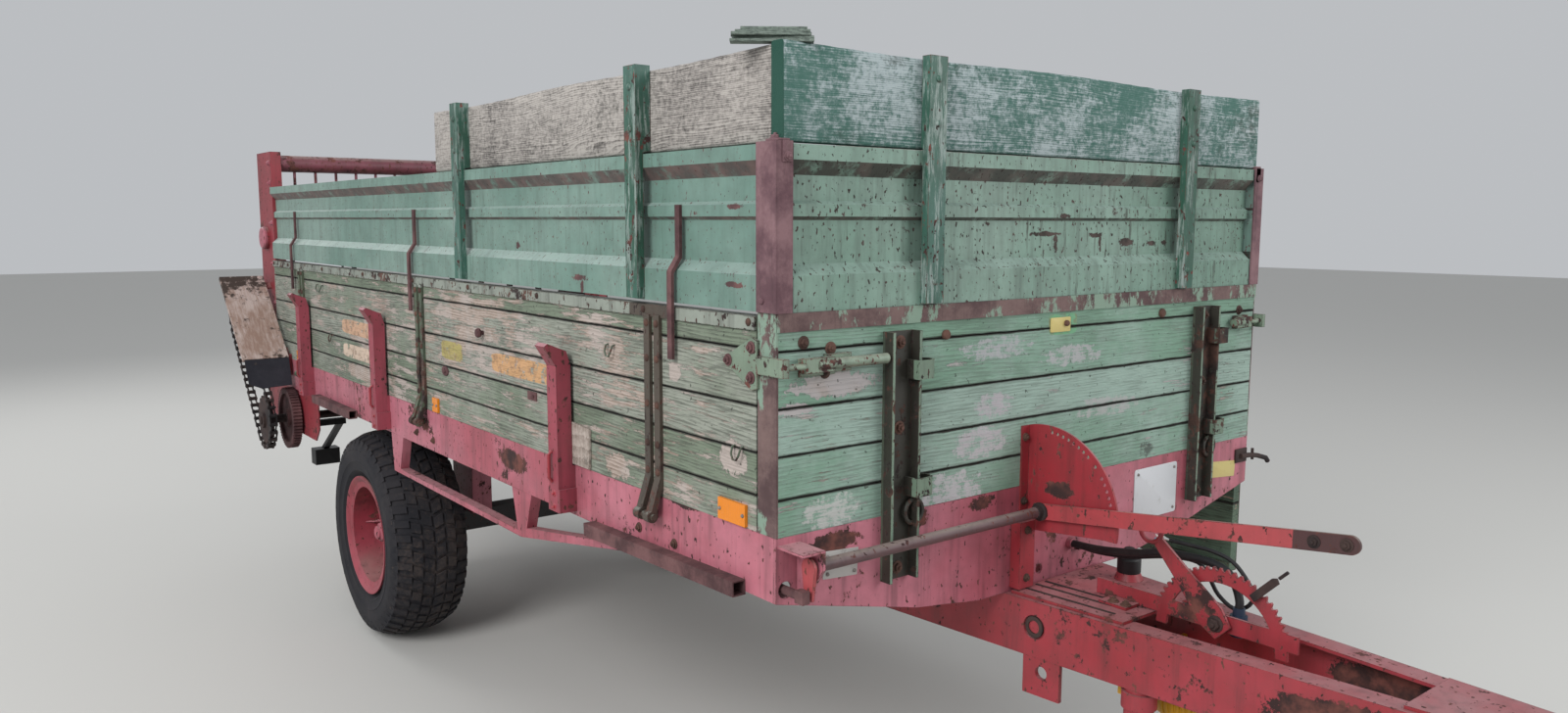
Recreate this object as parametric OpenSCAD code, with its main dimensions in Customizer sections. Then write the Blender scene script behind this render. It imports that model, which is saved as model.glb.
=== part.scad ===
// Two-wheel manure spreader with drop sides, steel extension walls and two rear beaters.
// The origin is the centre of the tow eye: -Y is ahead, +X is the machine's left, +Z is up.
// Inside the modules, sizes count from the box: x = 0 on the centre line, y = 0 on the outer
// face of the front wall, and z = 0 on top of the side rails.

/* [Box] */
// Outer width over the wooden sides
box_w = 1900; // [1700:10:2100]
// Length of the box, from the front wall to the rear plates
box_l = 4160; // [3800:20:4500]
// Height of the wooden sides
wood_h = 471; // [420:1:520]
// Thickness of the side and front planks
plank_t = 34; // [28:1:40]
// Gap between two planks
plank_gap = 3; // [2:0.5:5]
// Height of the fixed sill under the left drop side
sill_h = 63; // [50:1:80]
// Thickness of the floor boards
floor_t = 30; // [24:1:36]
// Number of floor boards
floor_boards_n = 8; // [6:1:12]

/* [Extension walls] */
// Height of the pressed steel walls
ext_h = 354; // [300:2:420]
// Thickness of the steel sheet
sheet_t = 3; // [2:0.5:4]
// Height of the loose boards on top
board_h = 208; // [160:2:240]
// Thickness of the loose boards
board_t = 40; // [30:1:50]
// Length of the boards along each side
board_l = 1955; // [1500:5:2400]
// Diameter of the hole in the front board
board_hole_d = 100; // [60:2:140]

/* [Frame] */
// Height of the side rails' tops above the ground
deck_h = 1118; // [1080:1:1160]
// Height of the side rails
rail_h = 146; // [130:1:160]
// Wall of the side rails
rail_t = 6; // [5:0.5:8]
// Flange of the side rails
rail_flange = 50; // [40:1:60]
// Depth of the drawbar beams' tops under the rail tops
beam_top = 276; // [260:1:300]
// Height of the drawbar beams
beam_h = 145; // [130:1:160]
// Wall of the drawbar beams
beam_t = 8; // [6:0.5:10]
// Flange of the drawbar beams
beam_flange = 60; // [50:1:64]
// Half the distance between the beams' outer faces at the front wall
beam_x = 205; // [195:1:225]
// Angle of each beam to the centre line
beam_angle = 5.1; // [4.8:0.1:5.4]
// Distance from the tow eye to the front wall
tow_reach = 1800; // [1760:10:1900]
// Diameter of the tow eye's bore
eye_d = 40; // [35:1:50]

/* [Wheels] */
// Outer diameter of the tyres
tyre_d = 890; // [860:5:910]
// Width of the tyres
tyre_w = 325; // [290:5:330]
// Diameter of the rim's seat
rim_d = 457; // [440:1:480]
// Distance of the wheels' centre planes inside the box's sides
wheel_inset = 170; // [165:1:185]
// Distance of the axle ahead of the box's rear end
axle_back = 1216; // [1100:4:1400]
// Side of the square axle beam
axle_s = 90; // [70:2:110]

/* [Stakes and hinges] */
// Width of a stake along the rail
stake_w = 58; // [46:2:70]
// Height of a stake above the rail
stake_h = 345; // [300:5:400]
// Depth of a stake and its collar
stake_d = 52; // [40:1:54]
// Distance of the drop side's hinge pins from the wood
hinge_out = 32; // [31:1:36]
// Diameter of the hinge pins
hinge_d = 16; // [12:1:20]

/* [Beaters] */
// Radius over the tines
beater_r = 190; // [170:2:194]
// Diameter of a beater's tube
beater_tube_d = 114; // [90:2:130]
// Tines along each beater
tines_n = 16; // [10:1:20]
// Diameter of the beater shafts
shaft_d = 40; // [30:1:50]

/* [Feed lever] */
// Radius of the holes in the quadrant
quadrant_r = 207; // [190:1:220]
// Length of the hand lever
lever_l = 800; // [600:10:900]
// Diameter of the cross rod
cross_rod_d = 28; // [22:1:34]

/* [Hidden] */
$fn = 48;
slack = 0.3;

// Paint and material colours
old_red = [0.66, 0.30, 0.33];
lever_red = [0.68, 0.16, 0.18];
old_green = [0.50, 0.62, 0.52];
steel_green = [0.42, 0.58, 0.50];
strap_green = [0.12, 0.29, 0.25];
grey_wood = [0.62, 0.60, 0.56];
rusty = [0.36, 0.22, 0.22];
black_paint = [0.10, 0.10, 0.11];

// Levels and half widths of the box
half_w = box_w / 2;
wood_in = half_w - plank_t;
beam_mid = -beam_top - beam_h / 2;
beam_bottom = -beam_top - beam_h;
ground = -deck_h;
axle_y = box_l - axle_back;
axle_z = ground + tyre_d / 2;
ext_bottom = wood_h + 14;
ext_top = ext_bottom + ext_h;
cap_t = 4;
board_bottom = ext_top + cap_t + 2 * slack;
board_top = board_bottom + board_h;
post_w = 65;
side_y0 = post_w + 6;
side_y1 = box_l - 6;
// Tops of the planks on the front wall and the right side, as shares of the wood's height
plank_tops = [0.178, 0.380, 0.599, 0.860, 1];
// Tops of the wider planks on the left side
left_tops = [0.512, 0.769, 1];

function beam_half(y) = beam_x + y * tan(beam_angle);

// Puts what is sized from the box into the frame of the tow eye
module at_box() {
  translate([0, tow_reach, -beam_mid]) children();
}

module both_sides() {
  children();
  mirror([1, 0, 0]) children();
}

module on_right() {
  mirror([1, 0, 0]) children();
}

// A flat outline in x and z, run along y
module run_y(y0, y1) {
  translate([0, y1, 0]) rotate([90, 0, 0]) linear_extrude(y1 - y0) children();
}

// A flat outline in y and z, run along x
module run_x(x0, x1) {
  translate([x0, 0, 0]) rotate([90, 0, 90]) linear_extrude(x1 - x0) children();
}

module block(x0, x1, y0, y1, z0, z1) {
  translate([x0, y0, z0]) cube([x1 - x0, y1 - y0, z1 - z0]);
}

// A round bar along x
module bar_x(x0, x1, y, z, d) {
  translate([x0, y, z]) rotate([0, 90, 0]) cylinder(d = d, h = x1 - x0);
}

// A round bar along y
module bar_y(y0, y1, x, z, d) {
  translate([x, y0, z]) rotate([-90, 0, 0]) cylinder(d = d, h = y1 - y0);
}

// A channel outline whose web faces +x, with its top outer corner at the origin
module channel_outline(h, flange, t) {
  difference() {
    translate([-flange, -h]) square([flange, h]);
    translate([-flange - 1, -h + t]) square([flange - t + 1, h - 2 * t]);
  }
}

// Side rails

rod_x = -half_w + 26;
rod_z = -118;
rod_d = 20;
rod_guides = [0.120, 0.481, 0.841] * box_l;

module side_rails() {
  color(old_red) at_box() {
    both_sides() translate([half_w, 0, 0]) run_y(front_plate_t, box_l - 2)
      channel_outline(rail_h, rail_flange, rail_t);
    // guides for the push rod inside the right rail
    for (y = rod_guides) difference() {
      block(-half_w + rail_t - 1, rod_x + rod_d / 2 + 8, y, y + 12,
        rod_z - rod_d / 2 - 8, rod_z + rod_d / 2 + 8);
      bar_y(y - 1, y + 13, rod_x, rod_z, rod_d + 0.2);
    }
  }
}

// Front plate and cross members. Each hangs deeper in the middle, where it sits on the beams.

front_plate_t = 8;
cross_t = 8;
cross_end_x = half_w - rail_flange - slack;
cross_flat_x = 300;
cross_knee_x = 520;
cross_knee_z = -beam_top + 30;
floor_bar_h = 40;
cross_top = -floor_t - floor_bar_h - 60;
cross_ys = [for (i = [1 : 5]) i * (box_l - 460) / 5];

module cross_outline(top, end_x) {
  polygon([[-end_x, top], [-end_x, -rail_h], [-cross_knee_x, cross_knee_z],
    [-cross_flat_x, -beam_top], [cross_flat_x, -beam_top], [cross_knee_x, cross_knee_z],
    [end_x, -rail_h], [end_x, top]]);
}

bracket_x = -half_w + 58;
bracket_t = 8;
bracket_l = 88;

module front_cross_plate() {
  color(old_red) at_box() {
    difference() {
      run_y(0, front_plate_t) cross_outline(-slack, half_w);
      bar_y(-1, front_plate_t + 1, -67, -238, 26);
      bar_y(-1, front_plate_t + 1, rod_x, rod_z, rod_d + 18);
    }
    // glands of the free cables
    bar_y(lamp_route[0][1], 0.01, lamp_route[0][0], lamp_route[0][2], lamp_d + 12);
    bar_y(spare_route[0][1], 0.01, spare_route[0][0], spare_route[0][2], spare_d + 8);
    // bracket at the right corner that carries the cross rod's end
    difference() {
      union() {
        run_x(bracket_x, bracket_x + bracket_t) polygon([[0, -16], [-bracket_l, -16],
          [-bracket_l, -60], [-50, -112], [0, -130]]);
        block(-half_w + 4, bracket_x + bracket_t, -bracket_l, 0, -22, -16);
      }
      bar_x(bracket_x - 10, bracket_x + 20, pivot_y, pivot_z, cross_rod_d + 0.1);
    }
  }
}

module cross_members() {
  color(old_red) at_box() {
    for (y = cross_ys) {
      run_y(y, y + cross_t) cross_outline(cross_top, cross_end_x);
      block(-cross_flat_x, cross_flat_x, y - 50, y + 0.01, -beam_top, -beam_top + cross_t);
    }
    // flat bars across the rails that carry the floor boards
    for (y = cross_ys)
      block(-half_w + rail_t, half_w - rail_t, y - 90, y - 50,
        -floor_t - floor_bar_h, -floor_t);
  }
}

// Drawbar: two channels that run from the axle to the tow head

beam_front = -tow_reach + 240;
beam_rear = axle_y + 320;
web_hole_y = -94;
web_hole_z = -beam_top - 67;

module beam() {
  translate([beam_x, 0, 0]) rotate([0, 0, -beam_angle])
    translate([0, 0, -beam_top]) run_y(beam_front, beam_rear)
      channel_outline(beam_h, beam_flange, beam_t);
}

module drawbar_beams() {
  color(lever_red) at_box() difference() {
    both_sides() beam();
    bar_x(-beam_x - 30, beam_x + 30, web_hole_y, web_hole_z, 62);
  }
}

eye_ring_d = 110;
eye_t = 32;
head_y0 = -tow_reach + 140;

module tow_head() {
  color(lever_red) at_box() difference() {
    union() {
      // head block between the beams' ends
      block(-beam_half(beam_front) - 4, beam_half(beam_front) + 4, head_y0,
        beam_front - 8, beam_bottom, -beam_top);
      // plates over and under the beams' ends
      for (z = [-beam_top + slack, beam_bottom - 12 - slack])
        run_z(z, z + 12) polygon([[-70, head_y0], [70, head_y0],
          [beam_half(beam_front) + 34, beam_front + 300],
          [-beam_half(beam_front) - 34, beam_front + 300]]);
      block(-beam_half(beam_front) - 4, beam_half(beam_front) + 4, head_y0,
        head_y0 + 60, beam_bottom - 12, -beam_top + 12);
      bar_y(-tow_reach + eye_ring_d / 2 - 14, head_y0 + 1, 0, beam_mid, 56);
      translate([0, -tow_reach, beam_mid - eye_t / 2]) cylinder(d = eye_ring_d, h = eye_t);
    }
    translate([0, -tow_reach, beam_mid - eye_t]) cylinder(d = eye_d, h = 2 * eye_t);
  }
}

// A flat outline in x and y, raised along z
module run_z(z0, z1) {
  translate([0, 0, z0]) linear_extrude(z1 - z0) children();
}

cover_y = -330;
front_cover_y = -tow_reach + 860;

module drawbar_covers() {
  // one over the root of the drawbar, and one over its narrow front
  for (y = [[cover_y, -12], [beam_front + 310, front_cover_y]])
    run_z(-beam_top + slack, -beam_top + 8) polygon([
      [-beam_half(y[0]) + 14, y[0]], [beam_half(y[0]) - 14, y[0]],
      [beam_half(y[1]) - 14, y[1]], [-beam_half(y[1]) + 14, y[1]]]);
}

lug_y = -118;
lug_w = 108;
lug_h = 99;

module drawbar_fittings() {
  color(lever_red) at_box() {
    drawbar_covers();
    // lug with a hole under the right beam
    difference() {
      translate([-beam_half(lug_y), lug_y, 0]) rotate([0, 0, beam_angle])
        block(0, 12, -lug_w / 2, lug_w / 2, beam_bottom - lug_h, beam_bottom - slack);
      bar_x(-beam_half(lug_y) - 10, -beam_half(lug_y) + 30, lug_y, beam_bottom - 36, 34);
    }
    // cross pin behind the round holes in the beams' webs
    cross_pin_x = beam_half(web_hole_y) - beam_t - 1;
    bar_x(-cross_pin_x - 4, cross_pin_x + 4, web_hole_y, web_hole_z, 34);
    both_sides() translate([beam_x, 0, 0]) rotate([0, 0, -beam_angle])
      block(-beam_t - 9, -beam_t - slack, web_hole_y - 45, web_hole_y + 45,
        web_hole_z - 45, web_hole_z + 45);
  }
}

// Parking jack under the right beam, standing on the ground

jack_y = -366;
jack_d = 70;
jack_wall = 5;
jack_tube_l = 330;
jack_x = -beam_half(jack_y) + jack_d / 2;
jack_foot = 170;

module jack_tube() {
  color(old_red) at_box() translate([jack_x, jack_y, beam_bottom - jack_tube_l]) {
    difference() {
      cylinder(d = jack_d, h = jack_tube_l - slack);
      translate([0, 0, -1]) cylinder(d = jack_d - 2 * jack_wall, h = jack_tube_l - 8);
    }
  }
}

module jack_leg() {
  color(rusty) at_box() translate([jack_x, jack_y, ground]) {
    difference() {
      translate([0, 0, 7]) cylinder(d = jack_d - 2 * jack_wall - 2,
        h = beam_bottom - jack_tube_l - ground + 100);
      translate([0, 0, 8]) cylinder(d = jack_d - 4 * jack_wall - 2, h = 2000);
    }
    translate([-jack_foot / 2, -jack_foot / 2, 0]) cube([jack_foot, jack_foot, 8]);
  }
}

// Axle, its stands and the wheels

stub_d = 60;
wheel_x = half_w - wheel_inset;
drum_x = wheel_x - 150;
stand_x = beam_half(axle_y) - beam_flange / 2;

module axle() {
  color(black_paint) at_box() {
    block(-drum_x + 40, drum_x - 40, axle_y - axle_s / 2, axle_y + axle_s / 2,
      axle_z - axle_s / 2, axle_z + axle_s / 2);
    both_sides() bar_x(drum_x - 41, wheel_x + 50, axle_y, axle_z, stub_d);
    both_sides() bar_x(drum_x - 40, drum_x - 26, axle_y, axle_z, 150);
  }
}

module axle_stands() {
  color(old_red) at_box() both_sides() difference() {
    block(stand_x - 45, stand_x + 45, axle_y - 110, axle_y + 110,
      axle_z + axle_s / 2 + slack, beam_bottom - slack);
    block(stand_x - 37, stand_x + 37, axle_y - 102, axle_y + 102,
      axle_z, beam_bottom + 1);
  }
}

// Wheel parts, turned about x. Outlines give radius and distance outboard.

hub_bore = stub_d + 0.1;

module turned(x, y, z) {
  translate([x, y, z]) rotate([0, 90, 0]) rotate_extrude($fn = 96) children();
}

module hub() {
  color(old_red) at_box() turned(wheel_x, axle_y, axle_z) polygon([
    [hub_bore / 2, -170], [150, -170], [150, -100], [75, -92], [75, -34], [120, -34],
    [120, -20], [62, -20], [58, 62], [44, 70], [hub_bore / 2, 70]]);
}

module rim() {
  seat = rim_d / 2 - slack;
  well = seat - 16;
  inner = well - 6;
  lip = rim_d / 2 + 27;
  color(old_red) at_box() turned(wheel_x, axle_y, axle_z) polygon([
    [62.5, -19.7], [62.5, -11], [130, -11], [172, -38], [inner, -38], [inner, 132],
    [seat + 2, 137], [lip - 6, 148], [lip, 148], [lip, 140], [seat + 8, 131],
    [seat, 126], [seat, 72], [well, 62], [well, -62], [seat, -72], [seat, -126],
    [seat + 8, -131], [lip, -140], [lip, -148], [lip - 6, -148], [seat + 2, -137],
    [inner, -132], [inner, -46], [170, -46], [128, -19.7]]);
}

module tyre() {
  r = tyre_d / 2;
  w = tyre_w / 2;
  seat = rim_d / 2;
  half = [[0, 112], [0, 125], [31, 129], [60, w - 8]];
  crown = [[-110, w], [-40, w - 8], [-14, w - 30], [0, 62]];
  inside = [[-30, 50], [-40, w - 44], [-90, w - 28]];
  outer = concat([for (p = half) p + [seat, 0]], [for (p = crown) p + [r, 0]]);
  inner = concat([for (p = inside) p + [r, 0]], [[seat + 50, w - 34]]);
  color([0.13, 0.13, 0.14]) at_box() translate([wheel_x, axle_y, axle_z]) rotate([0, 90, 0])
    rotate_extrude($fn = 32) polygon(concat(outer, turned_over(outer),
      [for (i = [3 : -1 : 0]) [inner[i][0], -inner[i][1]]], inner));
}

// A row of outline points in mirrored order on the other side of the centre plane
function turned_over(row) = [for (i = [len(row) - 1 : -1 : 0]) [row[i][0], -row[i][1]]];

module right_hub() { on_right() hub(); }
module right_rim() { on_right() rim(); }
module right_tyre() { on_right() tyre(); }
module left_hub() { hub(); }
module left_rim() { rim(); }
module left_tyre() { tyre(); }

// Floor and scraper

scraper_y0 = plank_t + 70;
scraper_y1 = box_l - 75;
floor_y0 = scraper_y0 + 60;
floor_y1 = scraper_y1 - 60;
floor_half = half_w - rail_flange - 2;
slat_h = 22;
scraper_r = 57;
chain_x = 520;
slat_pitch = 480;

module floor_boards() {
  pitch = 2 * floor_half / floor_boards_n;
  color(grey_wood) at_box()
    for (i = [0 : floor_boards_n - 1])
      block(-floor_half + i * pitch, -floor_half + (i + 1) * pitch - plank_gap,
        floor_y0, floor_y1, -floor_t, 0);
}

scraper_z = slat_h / 2 + 1 - scraper_r;

module loop_outline(r) {
  translate([scraper_y0, scraper_z]) circle(r = r);
  translate([scraper_y1, scraper_z]) circle(r = r);
  translate([scraper_y0, scraper_z - r]) square([scraper_y1 - scraper_y0, 2 * r]);
}

module scraper() {
  color(rusty) at_box() {
    both_sides() run_x(chain_x - 11, chain_x + 11) difference() {
      loop_outline(scraper_r + 7);
      loop_outline(scraper_r - 7);
    }
    for (y = [floor_y0 + 120 : slat_pitch : floor_y1 - 60])
      for (z = [scraper_z + scraper_r, scraper_z - scraper_r])
        block(-wood_in + 12, wood_in - 12, y - 22, y + 22, z - slat_h / 2, z + slat_h / 2);
  }
}

module scraper_shafts() {
  color(rusty) at_box() for (y = [scraper_y0, scraper_y1]) {
    bar_x(-half_w + rail_t, half_w - rail_t, y, scraper_z, 45);
    both_sides() bar_x(chain_x - 14, chain_x + 14, y, scraper_z,
      2 * (scraper_r - 7 - slack));
  }
}

// Rear plates, which carry the beaters and the drive

rear_t = 6;
rear_x = half_w - 10;
rear_y0 = box_l;
rear_d = 270;
rear_top = ext_top + 177;
rear_bottom = -360;
skirt_y0 = box_l - 640;
lower_y = box_l + 210;
lower_z = 188;
upper_y = box_l + 140;
upper_z = 585;
drive_y = box_l - 255;
drive_z = -290;
shaft_fit = 0.1;

module rear_plates() {
  color(lever_red) at_box() both_sides() difference() {
    union() {
      run_x(rear_x - rear_t, rear_x) polygon([
        [rear_y0, rear_top], [rear_y0 + rear_d, rear_top], [rear_y0 + rear_d, rear_bottom],
        [skirt_y0 + 60, rear_bottom], [skirt_y0, rear_bottom + 60],
        [skirt_y0, -rail_h - slack], [rear_y0, -rail_h - slack]]);
      block(rear_x - 50, rear_x, rear_y0, rear_y0 + rear_t, 0, rear_top);
      for (p = [[lower_y, lower_z], [upper_y, upper_z], [drive_y, drive_z]])
        bar_x(rear_x - rear_t - 14, rear_x + 12, p[0], p[1], 112);
    }
    for (p = [[lower_y, lower_z], [upper_y, upper_z], [drive_y, drive_z]])
      bar_x(rear_x - 40, rear_x + 40, p[0], p[1], shaft_d + shaft_fit);
  }
}

tube_d = 83;
tube_y = box_l + 50;
tube_z = ext_top + 121;
comb_pitch = 102;
comb_n = 17;

module top_tube() {
  color(old_red) at_box() {
    bar_x(-rear_x + rear_t + slack, rear_x - rear_t - slack, tube_y, tube_z, tube_d);
    for (i = [0 : comb_n - 1])
      translate([(i - (comb_n - 1) / 2) * comb_pitch, tube_y, tube_z - tube_d / 2 - 110])
        cylinder(d = 14, h = 120);
  }
}

// Gearbox and drive line

pto_z = -470;
pto_front = -470;
gear_w = 240;

module gearbox() {
  color(black_paint) at_box() difference() {
    union() {
      block(-gear_w / 2, gear_w / 2, drive_y - 130, drive_y + 130, pto_z - 90, drive_z + 100);
      bar_x(-gear_w / 2 - 60, gear_w / 2 + 30, drive_y, drive_z, 150);
      bar_y(drive_y - 190, drive_y, 0, pto_z, 130);
      block(-gear_w / 2 + 20, gear_w / 2 - 20, cross_ys[4] + cross_t + slack, drive_y,
        drive_z + 20, drive_z + 90);
    }
    bar_x(-gear_w, gear_w, drive_y, drive_z, shaft_d + shaft_fit);
    bar_y(drive_y - 200, drive_y, 0, pto_z, 50.1);
  }
}

module pto_shaft() {
  color(rusty) at_box() {
    bar_y(pto_front + 90, drive_y - 10, 0, pto_z, 50);
    bar_y(pto_front, pto_front + 91, 0, pto_z, 35);
  }
}

hanger_y = -300;

module pto_guard() {
  color([0.80, 0.58, 0.12]) at_box() difference() {
    union() {
      translate([0, pto_front - 20, pto_z]) rotate([-90, 0, 0])
        cylinder(r1 = 80, r2 = 60, h = 130);
      bar_y(pto_front + 100, hanger_y + 30, 0, pto_z, 110);
      block(-beam_half(hanger_y) + beam_t + 4, beam_half(hanger_y) - beam_t - 4,
        hanger_y, hanger_y + 10, pto_z, beam_bottom + beam_t + 30);
    }
    translate([0, pto_front - 21, pto_z]) rotate([-90, 0, 0])
      cylinder(r1 = 76, r2 = 56, h = 120);
    bar_y(pto_front, hanger_y + 50, 0, pto_z, 50.1);
    // the hanger is notched round the beams' lower flanges
    both_sides() block(beam_half(hanger_y) - beam_flange - 4, beam_half(hanger_y) + 10,
      hanger_y - 1, hanger_y + 11, beam_bottom - 60, beam_bottom + beam_t + slack);
  }
}

// Chain drive on the right: from the drive shaft up to the lower beater

chain_pitch = 41.4;
drive_teeth = 20;
beater_teeth = 22;
drive_r = chain_pitch / 2 / sin(180 / drive_teeth);
beater_spr_r = chain_pitch / 2 / sin(180 / beater_teeth);
side_teeth = 14;
side_r = chain_pitch / 2 / sin(180 / side_teeth);
main_chain_x = half_w + 130;
side_chain_x = half_w + 36;
plate_half = 12;
waist_half = 8.5;

// A belt is two centres and two radii. This is the angle from its line to its tangent points.
function belt_lean(b) = acos((b[2] - b[3]) / norm(b[1] - b[0]));
function belt_angle(b) = atan2(b[1][1] - b[0][1], b[1][0] - b[0][0]);
function belt_arcs(b) = [(360 - 2 * belt_lean(b)) * b[2], 2 * belt_lean(b) * b[3]] * PI / 180;
function belt_run(b) = sqrt(pow(norm(b[1] - b[0]), 2) - pow(b[2] - b[3], 2));
function belt_l(b) = belt_arcs(b)[0] + belt_arcs(b)[1] + 2 * belt_run(b);
function on_circle(c, r, angle) = c + r * [cos(angle), sin(angle)];

// The point at length s along the belt, set off outwards
function belt_point(b, s, off) =
  let (l = belt_arcs(b), run = belt_run(b), up = belt_angle(b) + belt_lean(b),
    down = belt_angle(b) - belt_lean(b), deg = 180 / PI, t = s % belt_l(b))
  t < l[0] ? on_circle(b[0], b[2] + off, up + t / b[2] * deg)
  : t < l[0] + run ? on_circle(b[0] + (b[1] - b[0]) * (t - l[0]) / run, b[2] + off +
    (b[3] - b[2]) * (t - l[0]) / run, down)
  : t < l[0] + run + l[1] ? on_circle(b[1], b[3] + off, down + (t - l[0] - run) / b[3] * deg)
  : on_circle(b[1] + (b[0] - b[1]) * (t - l[0] - run - l[1]) / run, b[3] + off +
    (b[2] - b[3]) * (t - l[0] - run - l[1]) / run, up);

// Chain plates run round a belt: wide at each pin and narrow between two pins
module chain_outline(b, wide, narrow) {
  n = round(belt_l(b) / chain_pitch);
  step = belt_l(b) / n;
  polygon([for (k = [0 : n - 1]) for (m = [[0.3, wide], [0.7, wide], [1, narrow]])
    belt_point(b, (k + m[0]) * step, m[1])]);
}

module chain_band(b, plate, waist) {
  difference() {
    chain_outline(b, plate, waist);
    chain_outline(b, -plate, -waist);
  }
}

// A sprocket along x whose tips stay inside the chain's rollers
module sprocket(x, y, z, r, teeth, t) {
  tip = plate_half + 0.8;
  translate([x - t / 2, y, z]) rotate([90, 0, 90]) linear_extrude(t) union() {
    circle(r = r - 22, $fn = 96);
    for (i = [0 : teeth - 1])
      rotate(i * 360 / teeth)
        polygon([[r - 26, -12], [r - tip, -4], [r - tip, 4], [r - 26, 12]]);
  }
}

module drive_shaft() {
  color(black_paint) at_box() {
    bar_x(-main_chain_x - 30, gear_w / 2 - 10, drive_y, drive_z, shaft_d);
    sprocket(-main_chain_x, drive_y, drive_z, drive_r, drive_teeth, 20);
    bar_x(-main_chain_x - 22, -main_chain_x + 22, drive_y, drive_z, 76);
  }
}

module roller_chains() {
  color(black_paint) at_box() {
    both_chain_sides(-main_chain_x)
      chain_band([[drive_y, drive_z], [lower_y, lower_z], drive_r, beater_spr_r],
        plate_half, waist_half);
    both_chain_sides(side_chain_x)
      chain_band([[upper_y, upper_z], [lower_y, lower_z], side_r, side_r],
        plate_half, plate_half);
  }
}

// The plates on both sides of a chain
module both_chain_sides(x) {
  run_x(x - 19, x - 9.5) children();
  run_x(x + 9.5, x + 19) children();
}

feed_wheel_r = 150;
feed_wheel_x = half_w + 22;
feed_teeth = 56;

module feed_wheel() {
  color(rusty) at_box() difference() {
    union() {
      translate([-feed_wheel_x - 20, drive_y, drive_z]) rotate([90, 0, 90]) linear_extrude(40)
        difference() {
          union() {
            circle(r = feed_wheel_r - 8, $fn = 96);
            for (i = [0 : feed_teeth - 1])
              rotate(i * 360 / feed_teeth)
                polygon([[feed_wheel_r - 10, -5], [feed_wheel_r, -3], [feed_wheel_r, 3],
                  [feed_wheel_r - 10, 5]]);
          }
          circle(r = feed_wheel_r - 30, $fn = 96);
        }
      bar_x(-feed_wheel_x - 5, -feed_wheel_x + 5, drive_y, drive_z,
        2 * feed_wheel_r - 50);
      bar_x(-feed_wheel_x - 20, -rear_x - 12 - slack, drive_y, drive_z, 90);
    }
    bar_x(-feed_wheel_x - 40, -rear_x, drive_y, drive_z, shaft_d + 4);
  }
}

// Beaters

beater_half = rear_x - 60;

module beater(y, z) {
  bar_x(-beater_half, beater_half, y, z, beater_tube_d);
  for (i = [0 : tines_n - 1])
    translate([-beater_half + (i + 0.5) * 2 * beater_half / tines_n, y, z])
      rotate([i * 360 * 3 / tines_n, 0, 0])
        translate([-5, -30, 0]) cube([10, 60, beater_r - 3]);
  for (i = [0 : tines_n - 1])
    translate([-beater_half + (i + 0.5) * 2 * beater_half / tines_n, y, z])
      rotate([i * 360 * 3 / tines_n + 180, 0, 0])
        translate([-5, -30, 0]) cube([10, 60, beater_r - 3]);
}

module lower_beater() {
  color(rusty) at_box() {
    beater(lower_y, lower_z);
    bar_x(-main_chain_x - 30, side_chain_x + 24, lower_y, lower_z, shaft_d);
    sprocket(-main_chain_x, lower_y, lower_z, beater_spr_r, beater_teeth, 20);
    bar_x(-main_chain_x - 22, -main_chain_x + 22, lower_y, lower_z, 76);
    sprocket(side_chain_x, lower_y, lower_z, side_r, side_teeth, 20);
  }
}

module upper_beater() {
  color(rusty) at_box() {
    beater(upper_y, upper_z);
    bar_x(-rear_x - 14, side_chain_x + 24, upper_y, upper_z, shaft_d);
    sprocket(side_chain_x, upper_y, upper_z, side_r, side_teeth, 20);
  }
}

// Chain guard: a plywood board on two arms, with a rubber flap at its foot

guard_top = [box_l + 145, 392];
guard_foot = [box_l - 280, 14];
guard_in = half_w + 20;
guard_out = half_w + 225;
guard_t = 18;
guard_angle = atan2(guard_top[1] - guard_foot[1], guard_top[0] - guard_foot[0]);
guard_l = norm(guard_top - guard_foot);

module guard_board() {
  color([0.55, 0.43, 0.35]) at_box()
    translate([0, guard_foot[0], guard_foot[1]]) rotate([guard_angle, 0, 0])
      block(-guard_out, -guard_in, 0, guard_l, -guard_t, 0);
}

module guard_arms() {
  color(lever_red) at_box() {
    translate([0, guard_foot[0], guard_foot[1]]) rotate([guard_angle, 0, 0]) {
      block(-guard_out + 15, -half_w - 6, 40, 80, -guard_t - 8, -guard_t - slack);
      block(-guard_out + 15, -rear_x - slack, guard_l - 70, guard_l - 30,
        -guard_t - 8, -guard_t - slack);
    }
    block(-half_w - 14, -half_w - slack, guard_foot[0] + 20, guard_foot[0] + 80, -80, 24);
  }
}

module guard_flap() {
  color(black_paint) at_box()
    translate([0, guard_foot[0] + 0.6, 0]) rotate([-18, 0, 0]) translate([0, -6, 0])
      run_y(0, 5) polygon([[-guard_out + 6, 10], [-guard_in, 10], [-guard_in, -126],
        [-guard_out + 70, -134], [-guard_out + 12, -108]]);
}

// Wooden sides

module plank_stack(x0, x1, y0, y1, tops, bottom) {
  for (i = [0 : len(tops) - 1]) {
    z0 = i == 0 ? bottom : tops[i - 1] * wood_h;
    block(x0, x1, y0, y1, z0, tops[i] * wood_h - (i < len(tops) - 1 ? plank_gap : 0));
  }
}

iron_t = 5;
rail_iron_h = 30;
strap_ys = [0.1178, 0.5041, 0.8769] * box_l;
strap_w = 26;
strap_gap = 20;
right_pin_z = -45;
right_foot = 20;
left_foot = sill_h + 6;
left_pin_z = -2.5;
pin_x = half_w + hinge_out;

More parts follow.
